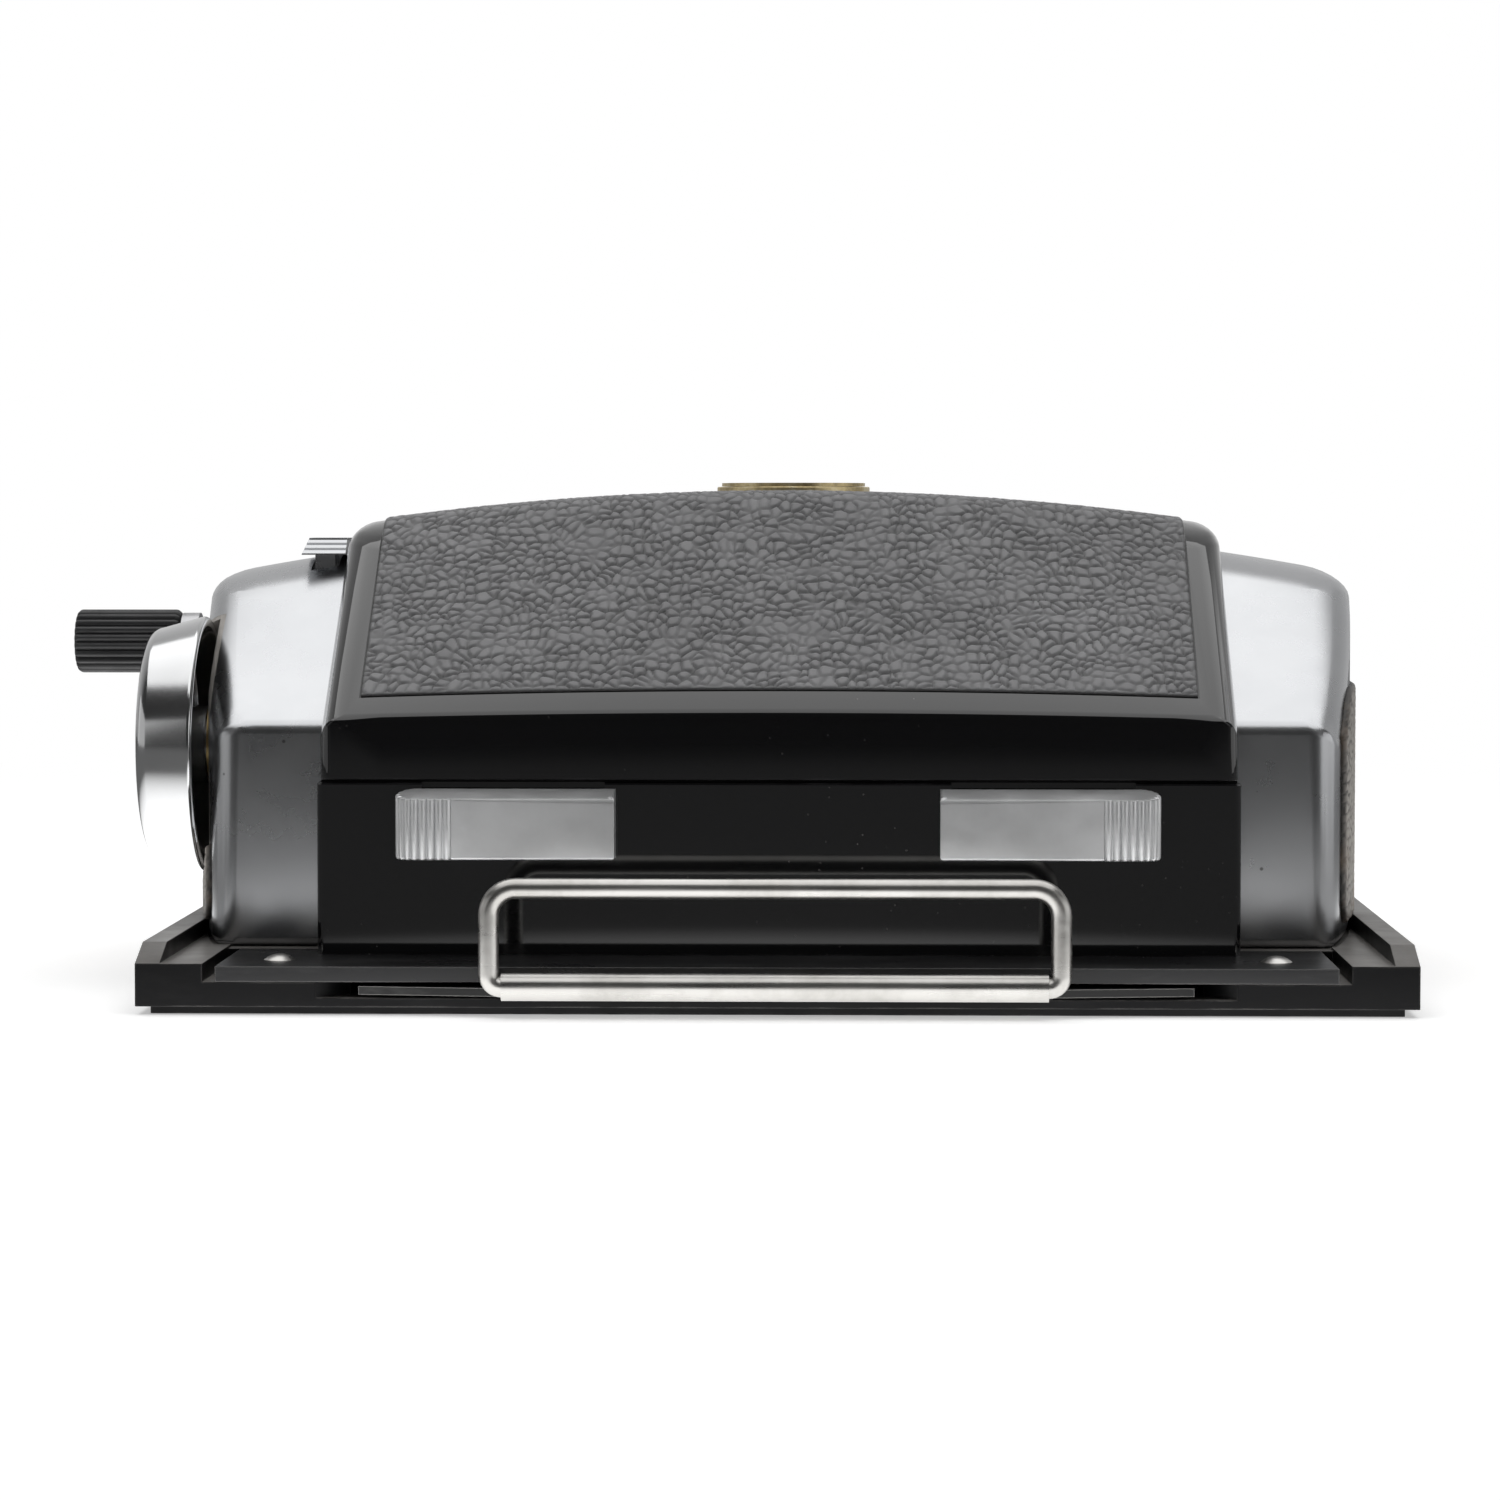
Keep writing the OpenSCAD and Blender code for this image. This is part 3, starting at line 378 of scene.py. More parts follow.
MATERIALS = {
    "black_enamel": black_enamel(),
    "frame_black": frame_black(),
    "plate_black": plate_black(),
    "satin_chrome": satin_chrome("satin_chrome", (0.46, 0.468, 0.482), (0.53, 0.536, 0.546), 0.24),
    "cup_chrome": satin_chrome("cup_chrome", (0.56, 0.565, 0.57), (0.66, 0.663, 0.666), 0.11),
    "satin_aluminium": satin_aluminium(),
    "steel": drawn_steel(),
    "slide_black": slide_black(),
    # Painted light: a grey-brown lining painted pale, standing in for light in the well's shade.
    "well_painted_light": plastic("well_painted_light", (0.3, 0.28, 0.26), (0.62, 0.59, 0.55), 0.6),
    "inner_steel": machined("inner_steel", (0.36, 0.36, 0.37), (0.56, 0.56, 0.57), 0.36),
    "brass": machined("brass", (0.42, 0.3, 0.12), (0.66, 0.5, 0.24), 0.32),
    "leather": leatherette(),
    "end_leather": worn_leather(),
    "knob_black": plastic("knob_black", (0.022, 0.022, 0.023), (0.045, 0.045, 0.047), 0.45),
    "spool_plastic": plastic("spool_plastic", (0.01, 0.01, 0.011), (0.02, 0.02, 0.022), 0.34),
    "dial_white": plastic("dial_white", (0.62, 0.6, 0.54), (0.8, 0.78, 0.72), 0.4),
    "velvet": velvet(),
    "dial_gold": gilt(),
    "window": clear_window(),
}

# ---------------------------------------------------------------- mesh helpers


def linked(name, mesh):
    obj = bpy.data.objects.new(name, mesh)
    bpy.context.scene.collection.objects.link(obj)
    return obj


def smooth_by_angle(bm, degrees):
    """Smooth faces, with the edges sharper than this kept crisp."""
    for face in bm.faces:
        face.smooth = True
    for edge in bm.edges:
        folded = len(edge.link_faces) == 2 and edge.calc_face_angle(0) > math.radians(degrees)
        edge.smooth = not folded


def to_piece(name, bm, material, body, nodes=(), crisp=32):
    """Turns a bmesh drawn in millimetres into a piece of the object."""
    bmesh.ops.recalc_face_normals(bm, faces=bm.faces)
    smooth_by_angle(bm, crisp)
    mesh = bpy.data.meshes.new(name)
    bm.to_mesh(mesh)
    bm.free()
    mesh.transform(Matrix.Scale(MM, 4))
    mesh.materials.append(MATERIALS[material])
    obj = linked(name, mesh)
    settle(obj, body, nodes)
    return obj


def settle(obj, body, nodes=()):
    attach(obj, body)
    if nodes:
        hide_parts(*nodes)


def bevel_edges(bm, edges, width, segments):
    if edges:
        bmesh.ops.bevel(bm, geom=edges, offset=width, offset_type="OFFSET", segments=segments,
                        profile=0.5, affect="EDGES", clamp_overlap=True)


def node_bmesh(node):
    """A CAD node's mesh in millimetres, with its flat faces whole again."""
    bm = bmesh.new()
    bm.from_mesh(frame["nodes"][node].data)
    bmesh.ops.scale(bm, vec=(1 / MM,) * 3, verts=bm.verts)
    bmesh.ops.remove_doubles(bm, verts=bm.verts, dist=0.002)
    bmesh.ops.dissolve_limit(bm, angle_limit=math.radians(0.4), verts=bm.verts, edges=bm.edges)
    return bm


def sharp_edges(bm, degrees=34):
    limit = math.radians(degrees)
    return [e for e in bm.edges if len(e.link_faces) == 2 and e.calc_face_angle(0) > limit]


def refine(node, material, body, width):
    """The CAD node again as a piece with its edges broken by a small bevel."""
    bm = node_bmesh(node)
    bevel_edges(bm, sharp_edges(bm), width, 2)
    obj = to_piece(node + "_body", bm, material, body, [node], crisp=50)
    flatten_shading(obj)
    return obj


def flatten_shading(obj):
    """Lets the large faces keep their own normals, so only the bevels are shaded round."""
    modifier = obj.modifiers.new("normals", "WEIGHTED_NORMAL")
    modifier.keep_sharp = True
    modifier.weight = 100


def bridge(bm, rings):
    """Faces between each ring of vertices and the next."""
    count = len(rings[0])
    for r0, r1 in zip(rings, rings[1:]):
        for i in range(count):
            j = (i + 1) % count
            bm.faces.new((r0[i], r0[j], r1[j], r1[i]))


def add_bmesh(bm, other):
    """Puts one bmesh into another and frees it."""
    mesh = bpy.data.meshes.new("part")
    other.to_mesh(mesh)
    other.free()
    bm.from_mesh(mesh)
    bpy.data.meshes.remove(mesh)


def lathe(profile, center, segments):
    """Turns (distance along -X, radius) points about the X axis through center."""
    bm = bmesh.new()
    rings = []
    for along, radius in profile:
        ring = []
        for i in range(segments):
            a = 2 * math.pi * i / segments
            ring.append(bm.verts.new((center[0] - along, center[1] + radius * math.cos(a),
                                      center[2] + radius * math.sin(a))))
        rings.append(ring)
    bridge(bm, rings)
    return bm, rings


def arc(cx, cy, r, a0, a1, steps):
    """Points of an arc, in degrees."""
    angles = [math.radians(a0 + (a1 - a0) * i / steps) for i in range(steps + 1)]
    return [(cx + r * math.cos(a), cy + r * math.sin(a)) for a in angles]


def tube(path, radius, sides):
    """A round wire along a closed path in the XZ plane."""
    bm = bmesh.new()
    rings = []
    side = Vector((0, 1, 0))
    for before, p, after in zip(path[-1:] + path, path, path[1:] + path[:1]):
        up = (after - before).normalized().cross(side).normalized()
        rings.append([bm.verts.new(p + radius * (math.cos(a) * side + math.sin(a) * up))
                      for a in (2 * math.pi * k / sides for k in range(sides))])
    bridge(bm, rings + rings[:1])
    return bm


def cut(obj, cutters, operation="DIFFERENCE"):
    """Takes closed bmeshes, drawn in millimetres, out of a piece, or keeps what they share."""
    for bm in cutters:
        bmesh.ops.recalc_face_normals(bm, faces=bm.faces)
        mesh = bpy.data.meshes.new("cutter")
        bm.to_mesh(mesh)
        bm.free()
        mesh.transform(Matrix.Scale(MM, 4))
        tool = linked("cutter", mesh)
        modifier = obj.modifiers.new("cut", "BOOLEAN")
        modifier.operation = operation
        modifier.solver = "EXACT"
        modifier.object = tool
        bake(obj)
        bpy.data.objects.remove(tool)


def bake(obj):
    """Applies a piece's modifiers to its mesh."""
    bpy.context.view_layer.update()
    graph = bpy.context.evaluated_depsgraph_get()
    mesh = bpy.data.meshes.new_from_object(obj.evaluated_get(graph), depsgraph=graph)
    obj.modifiers.clear()
    old = obj.data
    obj.data = mesh
    bpy.data.meshes.remove(old)


def modified(bm, kind, **settings):
    """A bmesh as one modifier with these settings leaves it."""
    mesh = bpy.data.meshes.new("form")
    bm.to_mesh(mesh)
    bm.free()
    obj = linked("form", mesh)
    modifier = obj.modifiers.new(kind, kind)
    for key, value in settings.items():
        setattr(modifier, key, value)
    bake(obj)
    bm = bmesh.new()
    bm.from_mesh(obj.data)
    bpy.data.objects.remove(obj)
    return bm


def box_bmesh(x, y, z):
    bm = bmesh.new()
    bmesh.ops.create_cube(bm, size=1)
    for v in bm.verts:
        v.co = Vector((x[0] + (v.co.x + 0.5) * (x[1] - x[0]), y[0] + (v.co.y + 0.5) * (y[1] - y[0]),
                       z[0] + (v.co.z + 0.5) * (z[1] - z[0])))
    return bm


def rod_bmesh(radius, x, y, z, segments=64):
    bm, rings = lathe([(-x[0], radius), (-x[1], radius)], (0, y, z), segments)
    bm.faces.new(rings[0])
    bm.faces.new(rings[1])
    return bm


# ---------------------------------------------------------------- rounded hip forms


def hip_outline(half, z0, shoulder, top):
    """Upright walls, 40-degree slopes and a flat top, as (y, z) corners."""
    run = (top - shoulder) / math.tan(SLOPE)
    return [(-half, z0), (half, z0), (half, shoulder), (half - run, top), (run - half, top),
            (-half, shoulder)]


def edge_kind(edge, x0, z_low, z_high):
    """Which edge of a hip form this is: one along X, or one of an end."""
    a, b = (v.co for v in edge.verts)
    foot = abs(a.z - z_low) < TINY and abs(b.z - z_low) < TINY
    if abs(a.x - b.x) > TINY:
        return "foot" if foot else "ridge" if abs(a.z - z_high) < TINY else "shoulder"
    upright = abs(a.y - b.y) < TINY
    end = "near" if abs(a.x - x0) < TINY else "far"
    return end + ("_foot" if foot else "_upright" if upright else "_rim")


def hip_prism(x0, x1, outline, radii):
    """A prism along X whose edges are rounded. radii gives the radius of each kind of edge, and an
    edge that it leaves out stays sharp."""
    bm = bmesh.new()
    ends = [[bm.verts.new((x, y, z)) for y, z in outline] for x in (x0, x1)]
    bridge(bm, ends)
    bm.faces.new(ends[0])
    bm.faces.new(ends[1][::-1])
    bmesh.ops.recalc_face_normals(bm, faces=bm.faces)
    weight = bm.edges.layers.float.new("bevel_weight_edge")
    widest = max(radii.values())
    heights = [z for _, z in outline]
    for edge in bm.edges:
        kind = edge_kind(edge, x0, min(heights), max(heights))
        edge[weight] = radii.get(kind, 0) / widest
    bm = modified(bm, "BEVEL", limit_method="WEIGHT", offset_type="OFFSET", width=widest,
                  segments=7, use_clamp_overlap=False, miter_outer="MITER_SHARP")
    bmesh.ops.remove_doubles(bm, verts=bm.verts, dist=0.01)
    return bm


def slice_mesh(bm, axis, places):
    """Cuts a mesh across at each place, so that a bend can follow."""
    normal = [0, 0, 0]
    normal[axis] = 1
    for place in places:
        point = [0, 0, 0]
        point[axis] = place
        geom = list(bm.verts) + list(bm.edges) + list(bm.faces)
        bmesh.ops.bisect_plane(bm, geom=geom, dist=1e-4, plane_co=point, plane_no=normal)


def frange(start, stop, step):
    count = max(1, round((stop - start) / step))
    return [start + (stop - start) * i / count for i in range(count + 1)]


def cover_arch(x, z):
    """How far the arch lowers a point of the cover: nothing at its foot, all at its crown."""
    share = np.clip((z - COVER_Z0) / (COVER_CROWN - COVER_Z0), 0, 1.1) ** 1.18
    return share * np.square(x) / (2 * ARCH_R)


def casing_bend(x, y, z):
    """The casings' bulged end and arched top, on a point of the straight form."""
    out = np.clip((x - CASING_X0) / (CASING_X1 - CASING_X0), 0, 1)
    moved = x + out * CASING_BULGE * (1 - np.square(y / CASING_HALF_Y))
    share = np.clip((z - CASING_SHOULDER) / (CASING_CROWN - CASING_SHOULDER), 0, 1)
    return moved, z - share * np.square(moved) / (2 * ARCH_R)


def shell_inwards(bm, thickness):
    """Gives an open surface a wall, inwards."""
    return modified(bm, "SOLIDIFY", thickness=thickness, offset=-1, use_even_offset=True)


# ---------------------------------------------------------------- leather grain


def value_noise(u, v, scale, seed):
    """Smooth noise from -1 to 1."""
    table = np.random.default_rng(seed).uniform(-1, 1, (64, 64))
    x, y = u / scale, v / scale
    xi, yi = np.floor(x).astype(int), np.floor(y).astype(int)
    fx, fy = x - xi, y - yi
    fx, fy = fx * fx * (3 - 2 * fx), fy * fy * (3 - 2 * fy)

    def at(i, j):
        return table[(xi + i) % 64, (yi + j) % 64]

    low = at(0, 0) * (1 - fx) + at(1, 0) * fx
    high = at(0, 1) * (1 - fx) + at(1, 1) * fx
    return low * (1 - fy) + high * fy


def pebbles(u, v, cell, seed, squash):
    """Height from 0 in the creases to 1 on the pebbles, at places u, v in millimetres. cell is a
    pebble's size along v, and squash times that is its size along u."""
    for shift, scale, step in ((0.4, 2.6, 1), (0.12, 0.5, 5)):
        u = u + shift * cell * value_noise(u, v, scale * cell, seed + step)
        v = v + shift * cell * value_noise(u, v, scale * cell, seed + step + 1)
    x, y = u / (cell * squash), v / cell
    table = np.random.default_rng(seed).uniform(0.06, 0.94, (97, 97, 3))
    xi, yi = np.floor(x).astype(int), np.floor(y).astype(int)
    near, second, tall = np.full(x.shape, 9.0), np.full(x.shape, 9.0), np.zeros(x.shape)
    for i in (-1, 0, 1):
        for j in (-1, 0, 1):
            seed_at = table[(xi + i) % 97, (yi + j) % 97]
            d = np.hypot(xi + i + seed_at[..., 0] - x, yi + j + seed_at[..., 1] - y)
            second = np.minimum(second, np.maximum(near, d))
            tall = np.where(d < near, seed_at[..., 2], tall)
            near = np.minimum(near, d)
    gap = np.clip((second - near) / 0.36, 0, 1)
    dome = gap * gap * (3 - 2 * gap)
    joined = np.clip(0.95 + 0.6 * value_noise(u, v, 1.3 * cell, seed + 4), 0.55, 1)
    crown = 0.18 * np.clip(1 - near / 0.6, 0, 1) + 0.16 * (tall - 0.5)
    return np.clip(0.85 - joined * (1 - dome) * 0.85 + crown * dome, 0, 1.1)


def rolled(edge):
    """A quarter round from 0 at a sheet's edge to 1 at half a millimetre in."""
    return np.sqrt(np.clip(1 - np.square(1 - np.clip(edge / 0.5, 0, 1)), 0, 1))


def grid_piece(name, sheets, height, material, body, node):
    """A skin from two grids of points (rows, columns, xyz) in millimetres, outer and inner."""
    rows, columns = sheets[0].shape[:2]
    verts = np.vstack([sheet.reshape(-1, 3) for sheet in sheets]) * MM
    index = np.arange(rows * columns).reshape(rows, columns)
    a, b = index[:-1, :-1].ravel(), index[:-1, 1:].ravel()
    c, d = index[1:, 1:].ravel(), index[1:, :-1].ravel()
    base = rows * columns
    faces = [np.stack([a, b, c, d], 1), np.stack([d, c, b, a], 1) + base]
    rim = np.concatenate([index[0, :], index[1:, -1], index[-1, -2::-1], index[-2:0:-1, 0]])
    after = np.roll(rim, -1)
    faces.append(np.stack([after, rim, rim + base, after + base], 1))
    faces = np.vstack(faces)
    mesh = bpy.data.meshes.new(name)
    mesh.vertices.add(len(verts))
    mesh.vertices.foreach_set("co", verts.astype(np.float32).ravel())
    mesh.loops.add(faces.size)
    mesh.loops.foreach_set("vertex_index", faces.astype(np.int32).ravel())
    mesh.polygons.add(len(faces))
    mesh.polygons.foreach_set("loop_start", np.arange(0, faces.size, 4, dtype=np.int32))
    mesh.polygons.foreach_set("use_smooth", np.ones(len(faces), bool))
    mesh.update(calc_edges=True)
    values = np.concatenate([height.ravel(), np.zeros(base)]).astype(np.float32)
    mesh.attributes.new("height", "FLOAT", "POINT").data.foreach_set("value", values)
    mesh.materials.append(MATERIALS[material])
    mesh.validate()
    obj = linked(name, mesh)
    settle(obj, body, [node])
    return obj


# ---------------------------------------------------------------- black body and cover

WALL = 1.6
LEVER_SLOT = ((21.5, 30.5), (15.7, 18.8))
RELIEF_X = (17, 35)
SPOOL_Y = 22
HINGE_HALF = 5
BODY_TOP = COVER_Z0 - 0.3


def rounded_box(x, y, z, upright, rim, segments=4):
    """A box with its upright corners and its top rim rounded."""
    bm = box_bmesh(x, y, z)
    corners = [e for e in bm.edges if abs(e.verts[0].co.z - e.verts[1].co.z) > 1e-6]
    bevel_edges(bm, corners, upright, segments)
    top = [e for e in bm.edges if all(abs(v.co.z - z[1]) < 1e-6 for v in e.verts)]
    bevel_edges(bm, top, rim, 2)
    return bm


def make_body():
    """The black box that the film chamber is in: slots for the levers' tongues, a shallow relief
    above each lever and notches for the spool pins."""
    x1, y1 = BODY_HI.x, -BODY_LO.y
    low, high = BODY_LO.z, BODY_TOP
    bm = rounded_box((-x1, x1), (-y1, y1), (low, high), 0.7, 0.25)
    body = to_piece("body_shell_wall", bm, "black_enamel", "root", ["body_shell"])
    cutters = [box_bmesh((WALL - x1, x1 - WALL), (WALL - y1, y1 - WALL), (low - 1, high + 1))]
    for side in (-1, 1):
        slot = sorted(side * v for v in LEVER_SLOT[0])
        relief = sorted(side * v for v in RELIEF_X)
        cutters.append(box_bmesh(slot, (-y1 - 1, WALL - y1 + 0.5), LEVER_SLOT[1]))
        cutters.append(box_bmesh(relief, (-y1 - 1, 0.8 - y1), (high - 1, high + 1)))
    for y in (-SPOOL_Y, SPOOL_Y):
        cutters.append(box_bmesh((-x1 - 1, x1 + 1), (y - 4, y + 4), (high - 1, high + 1)))
    cut(body, cutters)
    smooth_flat(body)
    for x0 in (-3 * HINGE_HALF, HINGE_HALF):
        add_knuckle("body_hinge_knuckle", x0, x0 + 2 * HINGE_HALF - 0.3, "root", "body_shell", -1)


def smooth_flat(obj):
    """Smooth shading on a cut piece, with its flat faces kept flat."""
    bm = bmesh.new()
    bm.from_mesh(obj.data)
    smooth_by_angle(bm, 32)
    bm.to_mesh(obj.data)
    bm.free()
    flatten_shading(obj)


def add_knuckle(name, x0, x1, body, node, up):
    """One leaf of the rear hinge with its web, above (1) or below (-1) the pin's height."""
    lo, hi = span("cover_hinge_pin")
    y, z = (lo.y + hi.y) / 2, (lo.z + hi.z) / 2
    bore = (hi.z - lo.z) / 2 + 0.05
    profile = [(-x0, bore), (-x0, 1.3), (-x0 - 0.2, 1.48), (0.2 - x1, 1.48), (-x1, 1.3),
               (-x1, bore), (-x0, bore)]
    bm, _ = lathe(profile, (0, y, z), 48)
    web_z = sorted((z + up * 0.1, z + up * 1.4))
    web = box_bmesh((x0, x1), (COVER_HALF_Y - 0.8, y - 0.9), web_z)
    add_bmesh(bm, web)
    to_piece(name, bm, "black_enamel", body, [node])


def make_cover():
    """The hinged cover: a hip form under a slight arch, hollow, with notches for the spool pins."""
    outline = hip_outline(COVER_HALF_Y, COVER_Z0, COVER_SHOULDER, COVER_CROWN)
    radii = {"ridge": RIDGE_R, "shoulder": 0.55, "near_rim": 2.6, "far_rim": 2.6,
             "near_upright": 1.2, "far_upright": 1.2}
    bm = hip_prism(-COVER_HALF_X, COVER_HALF_X, outline, radii)
    floor = [f for f in bm.faces if all(abs(v.co.z - COVER_Z0) < 0.02 for v in f.verts)]
    bmesh.ops.delete(bm, geom=floor, context="FACES")
    slice_mesh(bm, 0, frange(-39, 39, 3))
    for v in bm.verts:
        v.co.z -= float(cover_arch(v.co.x, v.co.z))
    bmesh.ops.recalc_face_normals(bm, faces=bm.faces)
    bm = shell_inwards(bm, 1.6)
    cover = to_piece("back_cover_shell", bm, "black_enamel", "cover", ["back_cover"])
    notches = [box_bmesh((-50, 50), (y - 4, y + 4), (COVER_Z0 - 1, 28.4)) for y in (-22, 22)]
    cut(cover, [leather_pocket()] + notches)
    add_knuckle("cover_hinge_knuckle", 0.15 - HINGE_HALF, HINGE_HALF - 0.15, "cover", "back_cover", 1)


def leather_pocket():
    """The shallow pocket that the leather lies in, with a fine gap round it."""
    gap = 0.16
    _, path, out = cover_path(LEATHER_Z - gap, 0.8)
    xs = np.linspace(-LEATHER_X - gap, LEATHER_X + gap, 29)
    bm = bmesh.new()
    top, low = ([[bm.verts.new((x, py + ny * lift, pz + nz * lift - float(cover_arch(x, pz))))
                  for x in xs] for (py, pz), (ny, nz) in zip(path, out)] for lift in (2.0, -0.45))
    strips = [pair for rows in (top, low) for pair in zip(rows, rows[1:])]
    strips += [(low[0], top[0]), (top[-1], low[-1])]
    strips += [([row[side] for row in top], [row[side] for row in low]) for side in (0, -1)]
    for a, b in strips:
        for i in range(len(a) - 1):
            bm.faces.new((a[i], a[i + 1], b[i + 1], b[i]))
    return bm


def cover_path(z_start, step):
    """The leather's cross-section from the front's low edge over the crown to the back's, as points
    (y, z) and outward normals (ny, nz), evenly spaced."""
    run = (COVER_CROWN - COVER_SHOULDER) / math.tan(SLOPE)
    ridge_y = COVER_HALF_Y - run
    setback = RIDGE_R * math.tan(SLOPE / 2)
    y_low = COVER_HALF_Y - (z_start - COVER_SHOULDER) / math.tan(SLOPE)
    start = Vector((-y_low, z_start))
    bend0 = Vector((-ridge_y - setback * math.cos(SLOPE), COVER_CROWN - setback * math.sin(SLOPE)))
    slope_n = Vector((-math.sin(SLOPE), math.cos(SLOPE)))
    half = [(start + (bend0 - start) * t, slope_n) for t in np.linspace(0, 1, 60, endpoint=False)]
    center = bend0 - slope_n * RIDGE_R
    for a in np.linspace(math.pi / 2 + SLOPE, math.pi / 2, 24, endpoint=False):
        n = Vector((math.cos(a), math.sin(a)))
        half.append((center + n * RIDGE_R, n))
    flat0 = Vector((center.x, COVER_CROWN))
    half += [(flat0 + (Vector((0, COVER_CROWN)) - flat0) * t, Vector((0, 1)))
             for t in np.linspace(0, 1, 50)]
    points = np.array([tuple(p) for p, _ in half])
    normals = np.array([tuple(n) for _, n in half])
    flip = np.array([-1, 1])
    points = np.vstack([points, (points * flip)[-2::-1]])
    normals = np.vstack([normals, (normals * flip)[-2::-1]])
    length = np.concatenate([[0], np.cumsum(np.hypot(*np.diff(points, axis=0).T))])
    s = np.linspace(0, length[-1], round(length[-1] / step) + 1)
    path = np.stack([np.interp(s, length, points[:, k]) for k in (0, 1)], 1)
    out = np.stack([np.interp(s, length, normals[:, k]) for k in (0, 1)], 1)
    return s, path, out


def make_cover_leather():
    """The pebbled sheet over the cover, rolled down at its edges."""
    proud = 0.28
    depth = 0.27
    step = 0.16
    s, path, out = cover_path(LEATHER_Z, step)
    xs = np.linspace(-LEATHER_X, LEATHER_X, round(2 * LEATHER_X / step) + 1)
    u, v = np.meshgrid(xs, s)
    grain = pebbles(u + 200, v + 200, 1.3, SEED, 0.84)
    edge = np.minimum(np.minimum(u + LEATHER_X, LEATHER_X - u), np.minimum(v, s[-1] - v))
    roll = rolled(edge)
    lift = proud * (0.35 + 0.65 * roll) + depth * (grain - 1) * np.clip(edge / 0.4, 0.2, 1)
    sheets = []
    for away in (lift, np.full(u.shape, -0.5)):
        y, z = (path[:, k][:, None] + out[:, k][:, None] * away for k in (0, 1))
        sheets.append(np.stack([u, y, z - cover_arch(u, z)], 2))
    height = grain * np.clip(edge / 0.3, 0, 1)
    grid_piece("cover_leather_skin", sheets, height, "leather", "cover", "cover_leather")


# ---------------------------------------------------------------- end casings


def casing_form(wider):
    """The casing's closed outer form for the right side."""
    outline = hip_outline(CASING_HALF_Y, SEAT_Z, CASING_SHOULDER, CASING_CROWN)
    radii = {"ridge": RIDGE_R, "shoulder": 1.0, "foot": 1.0, "far_rim": 3.4, "far_upright": 2.2,
             "far_foot": 1.2}
    bm = hip_prism(CASING_X0, CASING_X1 + wider, outline, radii)
    slice_mesh(bm, 1, frange(-32, 32, 2))
    slice_mesh(bm, 0, frange(47, 54, 1.5))
    for v in bm.verts:
        x, z = casing_bend(v.co.x, v.co.y, v.co.z)
        v.co.x, v.co.z = float(x), float(z)
    bmesh.ops.recalc_face_normals(bm, faces=bm.faces)
    return bm


def mirrored(bm):
    bmesh.ops.scale(bm, vec=(-1, 1, 1), verts=bm.verts)
    bmesh.ops.reverse_faces(bm, faces=bm.faces)
    return bm


def make_casing(side):
    """side is 1 for the right casing and -1 for the left, which is wider."""
    bm = casing_form(0 if side > 0 else LEFT_WIDER)
    open_faces = [f for f in bm.faces if all(abs(v.co.x - CASING_X0) < 0.02 for v in f.verts)
                  or all(abs(v.co.z - SEAT_Z) < 0.02 for v in f.verts)]
    bmesh.ops.delete(bm, geom=open_faces, context="FACES")
    bm = shell_inwards(bm, 1.2)
    if side > 0:
        to_piece("right_end_casing_shell", bm, "satin_chrome", "root", ["right_end_casing"])
        return
    casing = to_piece("left_end_casing_shell", mirrored(bm), "satin_chrome", "root",
                      ["left_end_casing"])
    _, y, z = crank_center()
    tab_lo, tab_hi = span("release_tab")
    window = span("counter_window")
    wy, wz = (window[0].y + window[1].y) / 2, (window[0].z + window[1].z) / 2
    cut(casing, [rod_bmesh(WELL_R + 0.6, (-70, -WELL_X + 0.6), y, z, 96),
                 rod_bmesh((window[1].z - window[0].z) / 2, (-70, -54), wy, wz),
                 box_bmesh((-49.6, -46.7), (tab_lo.y + 1.5, tab_hi.y + 1.5), (40, 48))])
    make_well(y, z)


def make_well(y, z):
    """The round well in the left casing that the crank's cup turns in."""
    out = 66 - WELL_X
    profile = [(0.0, 4.2), (0.0, WELL_R), (out, WELL_R), (out, WELL_R + 0.8), (-1.2, WELL_R + 0.8),
               (-1.2, 4.2), (0.0, 4.2)]
    bm, _ = lathe(profile, (-WELL_X, y, z), 128)
    bmesh.ops.remove_doubles(bm, verts=bm.verts, dist=0.001)
    # The lining is painted pale: painted light in the recess's shade.
    well = to_piece("crank_well", bm, "well_painted_light", "root", ["left_end_casing"])
    form = mirrored(casing_form(LEFT_WIDER - 0.02))
    cut(well, [form], "INTERSECT")


